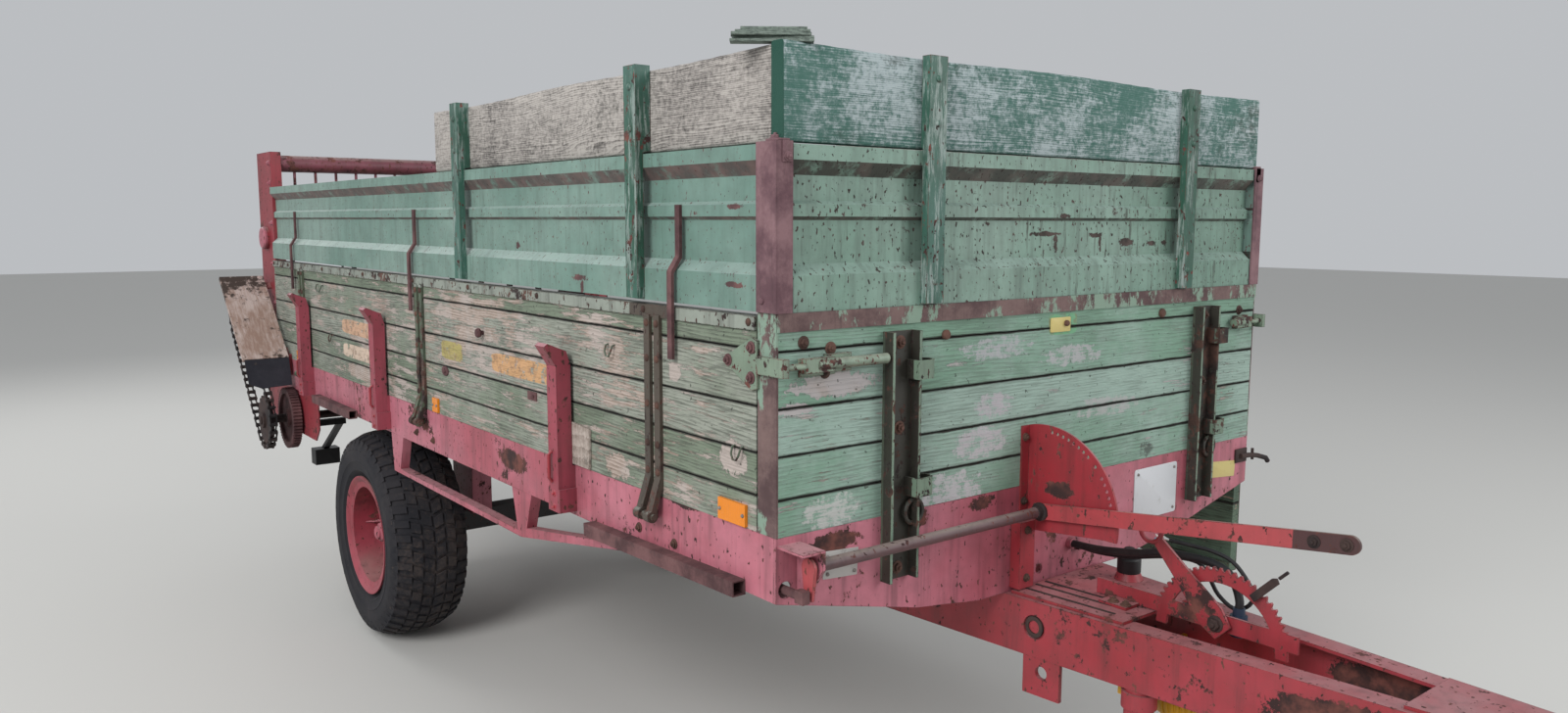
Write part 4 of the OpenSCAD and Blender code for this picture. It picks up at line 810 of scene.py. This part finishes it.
# Chain guard. A weathered plywood board on two welded arms leans over the chain, and a flap
# cut from conveyor belt hangs from its lower edge.
def weathered_ply(name, pale, brown, dirt):
    """Plywood that rain has washed pale along its grain, with dark crumbs of dirt."""
    material, tree = start_finish(name)
    grain = clouds(tree, 83.33, (6, 1, 1), detail=9, rough=0.7)
    colour = laid_over(tree, pale, brown,
                       passed(tree, 0.48, 0.66, (clouds(tree, 333.3), 0.6), (grain, 0.5)))
    crumbs = passed(tree, 0.53, 0.60, (clouds(tree, 33.33, detail=9, rough=0.75), 0.55),
                    (clouds(tree, 285.7, detail=5, shift=(5, 1, 2)), 0.5))
    colour = laid_over(tree, colour, dirt, crumbs)
    set_finish(tree, colour, 0.9, weighed(tree, (grain, 0.4), (crumbs, 0.6)), 0.6, 2)
    return material


# Plywood without varnish: matt, grey-brown, roughened by raised grain
dress(weathered_ply("plywood", "#BBA9A2", "#94796C", "#40342E"), "guard_board")
# Conveyor rubber: smooth and blue-black, with a thin film of dust
dress(dusty_rubber("flap_rubber", "#1C1D26", "#3C3D46", 0.4), "guard_flap")

# Rear frame. Two bent plates, the top tube with its comb, and the beater shafts with their
# bolted tines shut the box at the back. The beaters' bearings have round covers and flange
# bolts on the plates' outer faces.

# Red enamel scoured by what the beaters throw: dark and chipped
dress(worn_paint("rear_red_paint", "#85242F", "#93343D", chips=0.60, pits=0.64),
      "rear_plates", "guard_arms")
# First coat on the tube, never painted over: brownish and worn through in many places
dress(worn_paint("old_tube_paint", "#6E3641", "#864954", chips=0.56, pits=0.62), "top_tube")
dress(dark_iron, "lower_beater", "upper_beater")
lower_axis, upper_axis = (4370, 188), (4300, 585)
bm = bmesh.new()
for side in (-1, 1):
    out = (side, 0, 0)
    for y, z in (lower_axis, upper_axis):
        for k in range(4):
            turn = math.pi / 4 + math.pi / 2 * k
            add_bolt(bm, at(side * 952, y + 44 * math.cos(turn), z + 44 * math.sin(turn)),
                     out, 14, 22)
    for z in (60, 260, 460, 660, 860, 960):
        add_bolt(bm, at(side * 940, 4190, z), out, 19, 32)
bearing_cover = [(57, 0), (57, 10), (50, 17), (20, 20), (0.5, 20), (0.5, 14), (40, 12), (44, 0)]
add_turned(bm, at(-952, *upper_axis), RIGHT, bearing_cover, 36, ring=True)
add_piece("bearing_trim", bm, chassis_paint, "chassis")


# Floor. Tongued spruce boards lie lengthwise on the cross members, and the scraper's chains
# and slats of bare iron run over them.
def grain_lines(tree, along, lines, sway=1.0):
    """Wood grain: lines per metre that run along one axis and sway round knots."""
    squeeze = [1, 1, 1]
    squeeze[along] = 0.16
    place = add_node(tree, "Mapping", {"Vector": add_node(tree, "TexCoord", out="Object"),
                                       "Scale": squeeze})
    bend = add_node(tree, "TexNoise", {"Vector": place, "Scale": 5, "Detail": 3,
                                       "Roughness": 0.5}, "Color")
    bend = add_node(tree, "VectorMath", {0: bend, 1: (0.09 * sway,) * 3},
                    operation="MULTIPLY")
    place = add_node(tree, "VectorMath", {0: place, 1: bend}, operation="ADD")
    return add_node(tree, "TexWave", {"Vector": place, "Scale": lines, "Distortion": 2.5,
                                      "Detail": 5, "Detail Scale": 2.2,
                                      "Detail Roughness": 0.7}, "Fac",
                    wave_type="BANDS", bands_direction="Z", wave_profile="SAW")


def grey_boards(name, along, light, dark, paint=None, share=0.0, sway=1.6, end_paint=None):
    """Bare boards gone grey, with raised grain, stains and pale ridges, and with paint left
    in clouds of crumbs, or on one end, where given."""
    material, tree = start_finish(name)
    fibres = [20, 20, 20]
    fibres[along] = 1.1
    rings = grain_lines(tree, along, 60, sway)
    fine = clouds(tree, 90.91, fibres, detail=10, rough=0.76)
    dots = clouds(tree, 12.5, rough=0.7)
    wide = clouds(tree, 384.6, detail=9, rough=0.66, shift=(6, 6, 2))
    dark_share = passed(tree, 0.69, 0.98, (rings, 0.13), (fine, 0.62), (dots, 0.42),
                        (wide, 0.42))
    colour = laid_over(tree, light, dark, dark_share)
    if paint:
        left = passed(tree, 0.80 - share, 0.98 - share, (wide, 0.75), (fine, 0.42),
                      (dots, 0.50), (rings, 0.05))
        colour = laid_over(tree, colour, paint, left, 0.85)
    stains = passed(tree, 0.58, 0.72, (dots, 0.3),
                    (clouds(tree, 294.1, detail=8, rough=0.7, shift=(3, 3, 8)), 0.8))
    colour = laid_over(tree, colour, "#3F403B", stains, 0.62)
    ridge = passed(tree, 0.54, 0.44, (fine, 0.8),
                   (clouds(tree, 588.2, detail=5, shift=(1, 5, 5)), 0.5))
    colour = laid_over(tree, colour, "#BFC1C2", ridge, 0.5)
    if end_paint:
        colour = laid_over(tree, colour, end_paint, between(tree, 0, -2000, -926.4))
    height = weighed(tree, (dark_share, -0.5), (fine, 0.3), (dots, 0.2))
    set_finish(tree, colour, 0.9, height, 0.8, 3)
    return material


# Spruce under years of manure: matt, brown-grey, darker between its raised lines
dress(grey_boards("floor_wood", 1, "#8B8176", "#4E463E"), "floor_boards")
dress(dark_iron, "scraper", "scraper_shafts")


# Right side. Five spruce planks in old green paint are held by folded iron straps with coach
# bolts, under a row of domed heads along the top angle. Hooks, a knob, a slotted keep and an
# eye plate are screwed on, and torn orange stickers cling to two of the planks.
def plank_tones(tree, along, tops):
    """A different value on each plank, changing at the planks' tops in mm."""
    level = own(tree, "Object", 2)
    jumps = []
    last = 0.5
    for top in tops:
        value = 0.0137 * (top + 400) * along % 1
        above = add_node(tree, "Math", {0: level, 1: at(0, 0, top).z},
                         operation="GREATER_THAN")
        jumps.append((above, value - last))
        last = value
    return add_node(tree, "Math", {0: weighed(tree, *jumps), 1: 0.5}, operation="ADD")


def painted_boards(name, along, paint, faded, peel, grime_and_shade, bare=("#AD9882", "#7D6856"),
                   pale="#B9B0A6", pale_share=0.3, tops=(84, 179, 282, 405, 471),
                   patches=()):
    """Oil paint on planks: it flakes off along the grain and shows bare, weathered wood.
    Patches are scraped places (no colour: bare) or, where little ragged, torn stickers."""
    material, tree = start_finish(name)
    fibres, flakes = [11, 11, 11], [8, 8, 8]
    fibres[along], flakes[along] = 0.7, 0.9
    lines = grain_lines(tree, along, 34)
    fine = clouds(tree, 58.82, fibres, detail=9, rough=0.7)
    tones = plank_tones(tree, along + 1, tops[:-1])
    shade = passed(tree, 0.46, 0.68, (tones, 0.25), (fine, 0.2),
                   (clouds(tree, 384.6, detail=9, rough=0.68, shift=(5, 2, 9)), 0.7))
    colour = laid_over(tree, paint, faded, shade)
    # Dark grey-green clouds, partly grime and partly painted shade
    shadow = passed(tree, 0.52, 0.70, (fine, 0.75), (lines, 0.12), (clouds(tree, 333.3), 0.3))
    colour = laid_over(tree, colour, "#3A4036", shadow, grime_and_shade)
    wood = laid_over(tree, *bare, passed(tree, 0.42, 0.68, (fine, 0.8), (lines, 0.25)))
    scraped = passed(tree, 0.42, 0.56, (clouds(tree, 200, detail=5, shift=(1, 9, 3)), 1))
    wood = laid_over(tree, wood, pale, scraped, pale_share)
    peeled = passed(tree, peel, peel + 0.018,
                    (clouds(tree, 200, flakes, detail=13, rough=0.76, shift=(8, 3, 5)), 0.66),
                    (clouds(tree, 666.7, detail=4, shift=(4, 4, 1)), 0.32), (lines, 0.035),
                    (tones, 0.03))
    for *place, code in patches:
        if code is None:
            peeled = add_node(tree, "Math", {0: peeled, 1: patch(tree, *place)},
                              operation="MAXIMUM")
    colour = laid_over(tree, colour, wood, peeled)
    specks = passed(tree, 0.645, 0.67, (clouds(tree, 16.67, detail=4, shift=(3, 3, 3)), 1))
    colour = laid_over(tree, colour, "#24261F", specks, 0.75)
    crumbs = weighed(tree, (clouds(tree, 29.41, detail=9, rough=0.75), 0.6), (fine, 0.4))
    missing = passed(tree, 0.40, 0.44,
                     (clouds(tree, 41.67, detail=9, rough=0.72, shift=(2, 7, 7)), 1))
    scuffed = passed(tree, 0.50, 0.60,
                     (clouds(tree, 31.25, detail=8, rough=0.7, shift=(7, 1, 2)), 1))
    for axis, corners, ragged, facing, code in patches:
        if code is not None and ragged > 0.3:
            place = patch(tree, axis, corners, 0.5 * ragged, facing, soft=0.6)
            colour = laid_over(tree, colour, code,
                               passed(tree, 0.705, 0.79, (place, 0.27), (crumbs, 1)), 0.85)
        elif code is not None:
            film = laid_over(tree, code, "#7F6350", scuffed, 0.6)
            colour = laid_over(tree, colour, film,
                               patch(tree, axis, corners, ragged, facing, 6), missing, 0.93)
    # Dark cracks along the grain, and a dark line along each gap between planks: painted shade
    # in the gaps
    cracks_and_gap_shade = passed(tree, 0.32, 0.26, (fine, 1))
    level = own(tree, "Object", 2)
    for top in tops[:-1]:
        away = add_node(tree, "Math", {0: level, 1: at(0, 0, top - 1.5).z},
                        operation="SUBTRACT")
        away = add_node(tree, "Math", {0: away}, operation="ABSOLUTE")
        gap = passed(tree, 0.0115, 0.0075, (away, 1), (fine, 0.012))
        cracks_and_gap_shade = add_node(tree, "Math", {0: cracks_and_gap_shade, 1: gap}, operation="MAXIMUM")
    colour = laid_over(tree, colour, "#24221C", cracks_and_gap_shade)
    height = weighed(tree, (fine, 0.8), (lines, 0.2), (peeled, -0.4), (cracks_and_gap_shade, -0.9))
    set_finish(tree, colour, 0.8, height, 0.85, 3)
    return material


def add_coach_bolt(bm, place, normal, radius):
    """A coach bolt's round head."""
    add_turned(bm, place, normal, [(radius, -0.5), (radius, 1), (radius * 0.86, 3),
                                   (radius * 0.5, 4.8), (radius * 0.1, 5.4)], 12)


# Green oil paint: left in strips along the grain, with pinkish wood bare between them
dress(painted_boards(
    "side_boards_paint", 1, "#737F6D", "#93978C", bare=("#B0A096", "#857569"), peel=0.545,
    grime_and_shade=0.65, pale="#B5AEAA", pale_share=0.45,
    patches=[(1, (2590, 200, 3055, 262), 0.10, 0, "#C9A184"),
             (1, (2650, 100, 3050, 158), 0.14, 0, "#CFB9A6"),
             (1, (1040, 203, 1484, 266), 0.12, 0, "#C89A6C"),
             (1, (1718, 204, 1908, 268), 0.12, 0, "#A99C5E"),
             (1, (105, 108, 212, 188), 0.9, 0, None), (1, (368, 296, 428, 344), 0.9, 0, None),
             (1, (2560, 20, 3060, 82), 1.0, 0, None), (1, (620, 4, 760, 70), 1.1, 0, None)]),
      "right_planks")
# Straps in olive paint, mostly rust by now, with a light band where they meet the top angle
side_iron = worn_paint("side_iron_paint", "#3F4F40", "#566450", rust=("#2A1F1D", "#5E4138"),
                       chips=0.565, runs=0.6, dust="#8E958C", pits=0.61,
                       zones=[(2, 440, 480, "#8C9389"), (1, 400, 600, "#4B4239")])
dress(side_iron, "right_irons")
strap_places, stake_places = (490, 2097, 3648), (950, 2500, 3550)
bm = bmesh.new()
for y in strap_places:
    for side in (-23, 23):
        for z in (62, 131, 230, 343, 430):
            add_coach_bolt(bm, at(-959, y + side, z), RIGHT, 9.5 + 2 * (y * z % 7) / 7)
    for z in (-44, -40):
        add_bolt(bm, at(-950, y + (z + 42) * 42, z - 62), RIGHT, 16, 26)
for y in (92, 533, 1130, 1640, 2150, 2720, 3290, 3860, 4125):
    add_coach_bolt(bm, at(-955, y, 462), RIGHT, 9)
add_piece("side_bolts", bm, bolt_iron, "chassis")

bm = bmesh.new()
# Middle of each wire hook (y, z) and half its width
for y, z, w in ((3346, 384, 40), (3203, 172, 18), (135, 176, 16), (705, 352, 17)):
    half = [(-948, w, z + 6), (-957, w, z + 4), (-962, w * 0.9, z - 12),
            (-963, w * 0.4, z - 24)]
    add_rod(bm, [(x, y - d, h) for x, d, h in half]
            + [(x, y + d, h) for x, d, h in half[::-1]], 2.6)
add_piece("rope_hooks", bm, side_iron, "chassis")

bm = bmesh.new()
knob = [(7, 0), (7, 8), (14, 12), (16, 18), (13, 24), (5, 26)]
add_turned(bm, at(-949, 1540, 321), RIGHT, knob, 16)
add_plate(bm, rectangle(58, 26), 5, at(-949, 1185, 161), (0, -1, 0), UP, 1.2)
add_plate(bm, rectangle(34, 9), 6, at(-952, 1185, 161), (0, -1, 0), UP, 1)
oval = [(28.6 * math.cos(math.tau * k / 20), 17 * math.sin(math.tau * k / 20))
        for k in range(20)]
add_plate(bm, oval, 5, at(-949, 1874, 161), (0, -1, 0), UP, 1.2)
add_turned(bm, at(-953, 1874, 161), RIGHT, [(8, 0), (8, 4), (5, 5)], 14)
for y, z in ((165, 373), (79, 408), (80, 342)):
    add_bolt(bm, at(-957, y, z), RIGHT, 17, 28)
add_piece("side_irons_small", bm, rusty, "chassis")

# Stakes. Three bent channel stakes in red paint stand in collars on the rail and hold the
# right side shut. Each collar has two bolts and a bent rod, and a split wooden shim is wedged
# behind the first.

# Brushed red enamel like the drawbar's, paler on the bends' upper faces, partly dust and partly
# a painted highlight
dress(worn_paint("stake_red_paint", "#8C3140", "#9C4553", chips=0.60, pits=0.63,
                 dust="#B58A90"), "stakes")
bm = bmesh.new()
for y in stake_places:
    for z in (-118, -80):
        add_bolt(bm, at(-995, y, z), RIGHT, 19, 32)
    add_rod(bm, [(-1003, y + 8, 40), (-1013, y + 8, 30), (-1013, y + 8, -36),
                 (-1004, y + 8, -48)], 5)
add_piece("stake_fittings", bm, red_paint, "chassis")
# Split spruce, younger than the planks: pale grey with fine upright grain
shim_wood = grey_boards("shim_wood", 2, "#B0A49B", "#7D7066", sway=0.2)
bm = bmesh.new()
shim = [(-90, -60), (88, -61), (91, 47), (84, 52), (-86, 62), (-91, 48)]
splinter = [(-14, -60), (14, -56), (12, 70), (-12, 66)]
add_plate(bm, shim, 8, at(-950, 914, 64), (0, -1, 0), UP, 1.5)
add_plate(bm, splinter, 7, at(-950, 1012, 70), (0, -1, 0), UP, 1)
add_piece("stake_shim", bm, shim_wood, "chassis")

# Reflectors. Three amber reflectors are screwed to the lowest plank, a wide one in front and
# two small ones, each with a zinc screw at either end.

# Amber acrylic: saturated and glossy. The prisms' ribs are drawn coarser than they are, so
# that they show
amber = moulded_plastic("amber_plastic", "#DC7F10", "#B86F1A", 0.25, 6.98)
dress(amber, "reflectors")
bm = bmesh.new()
for y, w in ((155, 105), (1968, 50), (3753, 50)):
    for side in (-1, 1):
        add_coach_bolt(bm, at(-958, y + side * (w / 2 - 8), 29), RIGHT, 4.5)
add_piece("reflector_screws", bm, steel, "chassis")

# Left side. It hangs open from the sill, so that its inner face and the nuts of its straps'
# coach bolts are seen. The planks are the same spruce as on the right, in darker paint that is
# partly painted shade, since this side hangs in shadow.

# Green oil paint that the sun reaches less, with less of it gone: darker, and under heavier
# grime, partly as painted shade for this side, which hangs in shadow
dress(painted_boards("left_boards_paint_and_shade", 1, "#4A6050", "#5F7461", peel=0.60, grime_and_shade=0.8,
                     tops=(-370, -247, -136, -76)), "left_sill", "left_planks")
dress(side_iron, "left_irons")
bm = bmesh.new()
for y in strap_places:
    for side in (-23, 23):
        for z in (-136, -235, -348, -437):
            add_bolt(bm, at(1048, y + side, z), LEFT, 17, 28)
add_piece("left_side_nuts", bm, bolt_iron, "left_side")

# Front wall. Its planks are the sides' spruce in brighter paint, held by two channel irons, with
# flat corner posts and latches that lock the sides. Round and hexagon bolts have rusted in the
# planks, and a latch plate and a bent pin are fixed at the ends.

# Green oil paint: chalky in clouds, and scraped to grey wood in patches
dress(painted_boards(
    "front_boards_paint", 0, "#759783", "#96ADA2", bare=("#A79C95", "#7F7A70"), peel=0.575,
    grime_and_shade=0.4, pale="#AFABAC", pale_share=0.75,
    patches=[(0, (-560, -40, -270, 80), 0.8, 1, "#B9B4B8"),
             (0, (-350, 180, -170, 262), 0.8, 1, "#AFA8AE"),
             (0, (-430, 80, -190, 180), 0.8, 1, "#B4ADB2"),
             (0, (-60, 384, 60, 440), 0.1, 1, "#6FA57F"),
             (0, (-900, -10, -680, 84), 0.8, 1, "#B9B9B6"),
             (0, (20, 140, 380, 206), 0.9, 1, "#A9A9A8"),
             (0, (-100, 290, 200, 362), 0.9, 1, "#ABA9AC"),
             (0, (-420, 330, -100, 400), 0.9, 1, "#A7A6AA"),
             (0, (350, -5, 445, 52), 0.8, 1, "#4E5650"),
             (0, (-950, 262, -850, 292), 0.8, 1, None),
             (0, (-920, 296, -640, 350), 0.9, 1, None)]), "front_planks")
# Hot-rolled channel in olive paint: green at its edges, rust and dirt in its trough
dress(worn_paint("channel_paint", "#38443A", "#4C5648", rust=("#241C1A", "#54392F"),
                 chips=0.56, runs=0.6, rust_and_shade_below=0.7, dust="#7D8777", pits=0.60,
                 zones=[(1, -34.5, -33.5, "#758C7A"), (1, -60, -34.5, "#6B806E"),
                        (1, -33, -7, "#302F28")]), "front_irons")
# Posts of mild steel: half rust, half thin green paint
dress(rusty_metal("rusty_post", "#4E3A3B", "#76605D", "#7F9585", 0.515), "corner_posts")
# Thick green brush paint on forged latches, chipped in large flakes
latch_paint = worn_paint("latch_green_paint", "#6C806D", "#869684", chips=0.57, runs=0.4,
                         pits=0.61)
dress(latch_paint, "corner_latches")

bm = bmesh.new()
for x, z, r in ((-442, 411, 12), (445, 419, 13), (9, 414, 8)):
    add_turned(bm, at(x, -1 if r > 9 else -3, z), FRONT,
               [(r, -2), (r, 5), (r * 0.8, 8), (r * 0.3, 9)], 14)
for x, z in ((-877, 420), (-801, 403), (-816, 352), (860, 408)):
    add_bolt(bm, at(x, 0, z), FRONT, 17, 30)
for x in (-598, 655):
    for z in (-128, 205, 404):
        add_bolt(bm, at(x, -8, z), FRONT, 19, 32)
add_piece("front_bolts", bm, bolt_iron, "chassis")

bm = bmesh.new()
add_plate(bm, rectangle(102, 40), 5, at(-841, 0, 366), LEFT, UP, 1.2)
for x in (-880, -803):
    add_bolt(bm, at(x, -5, 366), FRONT, 17, 24)
add_piece("latch_plate", bm, latch_paint, "chassis")

bm = bmesh.new()
add_rod(bm, [(900, -10, -58), (948, -12, -60), (990, -14, -66), (1040, -18, -80),
             (1052, -18, -92)], 8)
add_rod(bm, [(965, -12, -40), (965, -13, -76)], 5)
add_plate(bm, rectangle(64, 44), 6, at(912, 0, -58), LEFT, UP, 1.2)
add_piece("corner_pin", bm, dark_iron, "chassis")

# Blank plates. Small plates of sheet metal with rounded corners, enamelled white, yellow or
# grey, are riveted or stuck to the front cross plate, and a small tag to the top plank.

# Stoved enamel: smooth and half glossy, with a greyer tone where it is scratched
plate_white = moulded_plastic("white_plate_enamel", "#C6C8CB", "#9A9690", 0.4)
plate_yellow = moulded_plastic("yellow_plate_enamel", "#C4B472", "#8F7F55", 0.45)
plate_grey = moulded_plastic("grey_plate_enamel", "#A9A7A3", "#54504D", 0.45)
# Name, finish, middle (x, z), width, height, tilt in degrees, thickness and corner radius
for name, material, x, z, w, h, tilt, thickness, corner in (
        ("white_plate", plate_white, 452, -105, 210, 152, 0, 2.5, 8),
        ("yellow_tag", plate_yellow, -12, 411, 80, 38, 0, 3, 3),
        ("yellow_plate", plate_yellow, 799, -88, 168, 50, -5, 1.5, 3),
        ("small_plate", plate_grey, -766, -88, 102, 64, -4, 1.5, 2)):
    c, s = math.cos(math.radians(tilt)), math.sin(math.radians(tilt))
    bm = bmesh.new()
    add_plate(bm, rectangle(w, h), thickness, at(x, 0, z), (c, 0, s), (-s, 0, c), 0.4, corner)
    add_piece(name, bm, material, "chassis")
bm = bmesh.new()
for x, z in ((362, -44), (542, -44), (362, -166), (542, -166), (-806, -66), (-726, -72),
             (-806, -106), (-726, -112)):
    add_coach_bolt(bm, at(x, -2, z), FRONT, 4.5)
add_piece("plate_rivets", bm, steel, "chassis")

# Extension walls. The side and front walls are pressed from steel sheet with long beads and a
# folded rim, painted green. Rusty corner covers are bolted over the joints, and crank hooks
# of round bar lock the side walls.

# Green machine enamel on sheet: thin, pale on the beads' upper slopes, partly dust and partly a
# painted highlight, darker with rust on their lower slopes, partly painted shade, and rusty at
# seams and scrapes
dress(worn_paint("side_steel_paint", "#67867B", "#80998F", rust=("#4B3536", "#6B4A48"),
                 chips=0.69, edge=0.06, runs=0.25, rust_and_shade_below=0.85, dust="#A3B3AE",
                 fleck=8.333, pits=0.65, tails=0.35,
                 patches=[(1, (820, 515, 925, 535), 1.2, 0), (1, (850, 478, 870, 520), 1.2, 0),
                          (1, (140, 704, 195, 718), 1.2, 0), (1, (110, 532, 185, 546), 1.2, 0),
                          (1, (1300, 590, 1330, 616), 0.9, 0)]), "side_extensions")
dress(worn_paint("front_steel_paint", "#6B8A7B", "#849E91", rust=("#322C28", "#524440"),
                 chips=0.67, edge=0.07, runs=0.4, rust_and_shade_below=0.9, dust="#9CADA6",
                 fleck=8.696, pits=0.62, tails=1.0,
                 patches=[(0, (-20, 600, 0, 655), 1.2, 1), (0, (-120, 640, 10, 654), 1.2, 1),
                          (0, (130, 636, 190, 650), 1.2, 1), (0, (172, 600, 186, 645), 1.2, 1),
                          (0, (262, 612, 330, 634), 1.2, 1), (0, (395, 612, 440, 626), 1.2, 1),
                          (0, (466, 612, 496, 626), 1.2, 1),
                          (0, (-10, 686, 40, 700), 1.2, 1)]), "front_extension")
# Covers of thin sheet: red rust dulled to mauve, with specks of the walls' green
rusty_cover = rusty_metal("rusty_cover", "#5C4047", "#85666A", "#7F988B", 0.645)
dress(rusty_cover, "corner_covers")
dress(rusty, "crank_hooks")
bm = bmesh.new()
for side in (-1, 1):
    add_plate(bm, rectangle(30, 46), 5, at(side * 930, 22, 844), LEFT, BACK, 1.2)
    add_bolt(bm, at(side * 930, 30, 849), UP, 17, 26)
    add_plate(bm, rectangle(26, 44), 4, at(side * 926, -5, 822), (-side, 0, 0), UP, 1)
    add_bolt(bm, at(side * 926, -9, 812), FRONT, 14, 22)
    add_coach_bolt(bm, at(side * 955, 44, 510), (side, 0, 0), 8)
add_piece("cover_fixings", bm, rusty_cover, "chassis")


# Top boards. Loose grey planks stand on the extension in flat green straps, which coach bolts
# hold. Each is a little warped, the front one has a round hole, and thin strips of wood lie
# crossed on the right front corner.
def make_board(name, low, high, along, material, hole=0):
    """A loose board between two corners in mm, warped along its length, with a hole of
    that diameter punched through where given."""
    bm = bmesh.new()
    size = [b - a for a, b in zip(low, high)]
    middle = [(a + b) / 2 for a, b in zip(low, high)]
    bmesh.ops.create_cube(bm, size=1)
    bmesh.ops.scale(bm, vec=[s / 1000 for s in size], verts=bm.verts[:])
    bmesh.ops.translate(bm, vec=at(*middle), verts=bm.verts[:])

    def lengthwise():
        return [e for e in bm.edges
                if abs(e.verts[0].co[along] - e.verts[1].co[along]) > 0.5]

    bmesh.ops.bevel(bm, geom=lengthwise(), offset=0.006, segments=2, profile=0.5,
                    affect="EDGES", material=-1)
    bmesh.ops.subdivide_edges(bm, edges=lengthwise(), cuts=47, use_grid_fill=True)
    for v in bm.verts:
        k = round((v.co[along] - at(*low)[along]) / size[along] * 48000)
        share = (v.co.z - at(*low).z) / size[2] * 1000
        wave = 3.0 * math.sin(k * 0.23 + len(name)) + 0.6 * math.sin(k * 2.9)
        v.co.z += (wave - 3) * share / 1000
        v.co[1 - along] += 1.5 * math.sin(k * 0.11 + 1) * share / 1000
    piece = add_piece(name, bm, material, "chassis", 50)
    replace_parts(piece, "top_boards")
    if hole:
        punch = bmesh.new()
        add_turned(punch, at(*middle), FRONT, [(hole / 2, -60), (hole / 2, 60)], 40)
        store = bpy.data.meshes.new("punch")
        punch.to_mesh(store)
        punch.free()
        tool = bpy.data.objects.new("punch", store)
        bpy.context.scene.collection.objects.link(tool)
        cut = piece.modifiers.new("hole", "BOOLEAN")
        cut.object = tool
        cut.solver = "EXACT"
        shaped = bpy.data.meshes.new_from_object(
            piece.evaluated_get(bpy.context.evaluated_depsgraph_get()))
        piece.modifiers.clear()
        piece.data = shaped
        bpy.data.objects.remove(tool)
        shaped.polygons.foreach_set("use_smooth", [True] * len(shaped.polygons))
        shaped.set_sharp_from_angle(angle=math.radians(50))


# Old formwork spruce: silver-grey and matt, with raised grain and dark weather stains
side_wood = grey_boards("side_top_boards", 1, "#ABA59F", "#464240")
# The front board still has dark green paint in crumbs, and on its right end
front_wood = grey_boards("front_top_board", 0, "#A4B0B2", "#4C5E5A", "#3A675C", 0.03,
                         sway=0.9, end_paint="#1E4A3E")
dress(side_wood, "top_boards")
make_board("front_top_board", (-928, 6, 843.6), (928, 46, 1051), 0, front_wood, 100)
make_board("right_top_board", (-928, 48, 843.6), (-888, 1955, 1046), 1, side_wood)
make_board("left_top_board", (888, 48, 843.6), (928, 1955, 1046), 1, side_wood)

# Straps in dark green enamel, whitish where it is rubbed off upright edges
strap_paint = worn_paint("strap_green_paint", "#24503F", "#3B665A", chips=0.61, runs=0.4,
                         dust="#6E7A70", streaks=0.6, pits=0.63)
dress(strap_paint, "board_straps")
bm = bmesh.new()
for z in (540, 900, 1000):
    for y in (560, 1680):
        for side in (-1, 1):
            add_coach_bolt(bm, at(side * 970.3, y, z), (side, 0, 0), 9)
    for x in (-500, 535):
        add_coach_bolt(bm, at(x, -20.3, z), FRONT, 9)
add_piece("strap_bolts", bm, strap_paint, "chassis")

# Thin spruce offcuts: rough-sawn and matt, dark and greenish with algae
strip_wood = grey_boards("strip_wood", 0, "#77837A", "#38423D")
bm = bmesh.new()
# Shift in mm, turn in degrees and length of each strip, from the lowest up
for k, (shift, degrees, length) in enumerate(((0, -38, 176), (6, -40, 172), (-4, -35, 168),
                                              (4, -39, 158), (8, -37, 140))):
    c, s = math.cos(math.radians(degrees)), math.sin(math.radians(degrees))
    add_plate(bm, rectangle(length, 40 - 2 * k), 6,
              at(-915 + shift, 62 + shift / 2, 1049.5 + 6.5 * k), (c, s, 0), (-s, c, 0), 0.8)
add_piece("loose_strips", bm, strip_wood, "chassis")

# Rear lamps. Two black plastic housings hang on arms behind the rear plates, each with an
# amber lens outside and a red one inside, ribbed and a little rounded.

dress(lamp_plastic, "tail_lamps")
# Red acrylic: glossy and ribbed like the amber one, but deeper
red_lens = moulded_plastic("red_lens_plastic", "#9E1517", "#7E1C1C", 0.22, 6.98)
for side, name in ((-1, "right"), (1, "left")):
    for part, x, w, material in (("amber", 794, 34, amber), ("red", 740, 70, red_lens)):
        bm = bmesh.new()
        add_plate(bm, rectangle(w, 66), 12, at(side * x, 4151, -540), LEFT, UP, 3)
        add_piece(name + "_" + part + "_lens", bm, material, "chassis")

# Floor and soft light. The ground is a plain pale floor. Three large round lamps and an even
# sky light the machine from the photograph's side, so that colours render as written.
bpy.ops.mesh.primitive_plane_add(size=80, location=(0, 4, cad_low.z))
floor = bpy.context.object
floor.name = "floor"
paving, tree = start_finish("pale_floor")
shader = tree.nodes["Principled BSDF"]
shader.inputs["Base Color"].default_value = rgb("#C9C8C4")
shader.inputs["Roughness"].default_value = 0.9
floor.data.materials.append(paving)
for name, place, size, power in (("key", (-8.0, 0.2, 5.5), 5, 660),
                                 ("fill", (5.0, -5.5, 4.5), 6, 430),
                                 ("back", (-2.0, 12.0, 6.0), 6, 240)):
    light = bpy.data.lights.new(name, "AREA")
    light.shape = "DISK"
    light.size = size
    light.energy = power
    lamp = bpy.data.objects.new(name, light)
    bpy.context.scene.collection.objects.link(lamp)
    lamp.location = place
    aim = Vector((0, 3.9, 0.4)) - Vector(place)
    lamp.rotation_euler = aim.to_track_quat("-Z", "Y").to_euler()
world = bpy.data.worlds.new("sky")
bpy.context.scene.world = world
world.use_nodes = True
world.node_tree.nodes["Background"].inputs["Color"].default_value = rgb("#E3E6EA")
world.node_tree.nodes["Background"].inputs["Strength"].default_value = 0.65
bpy.context.scene.view_settings.view_transform = "Standard"
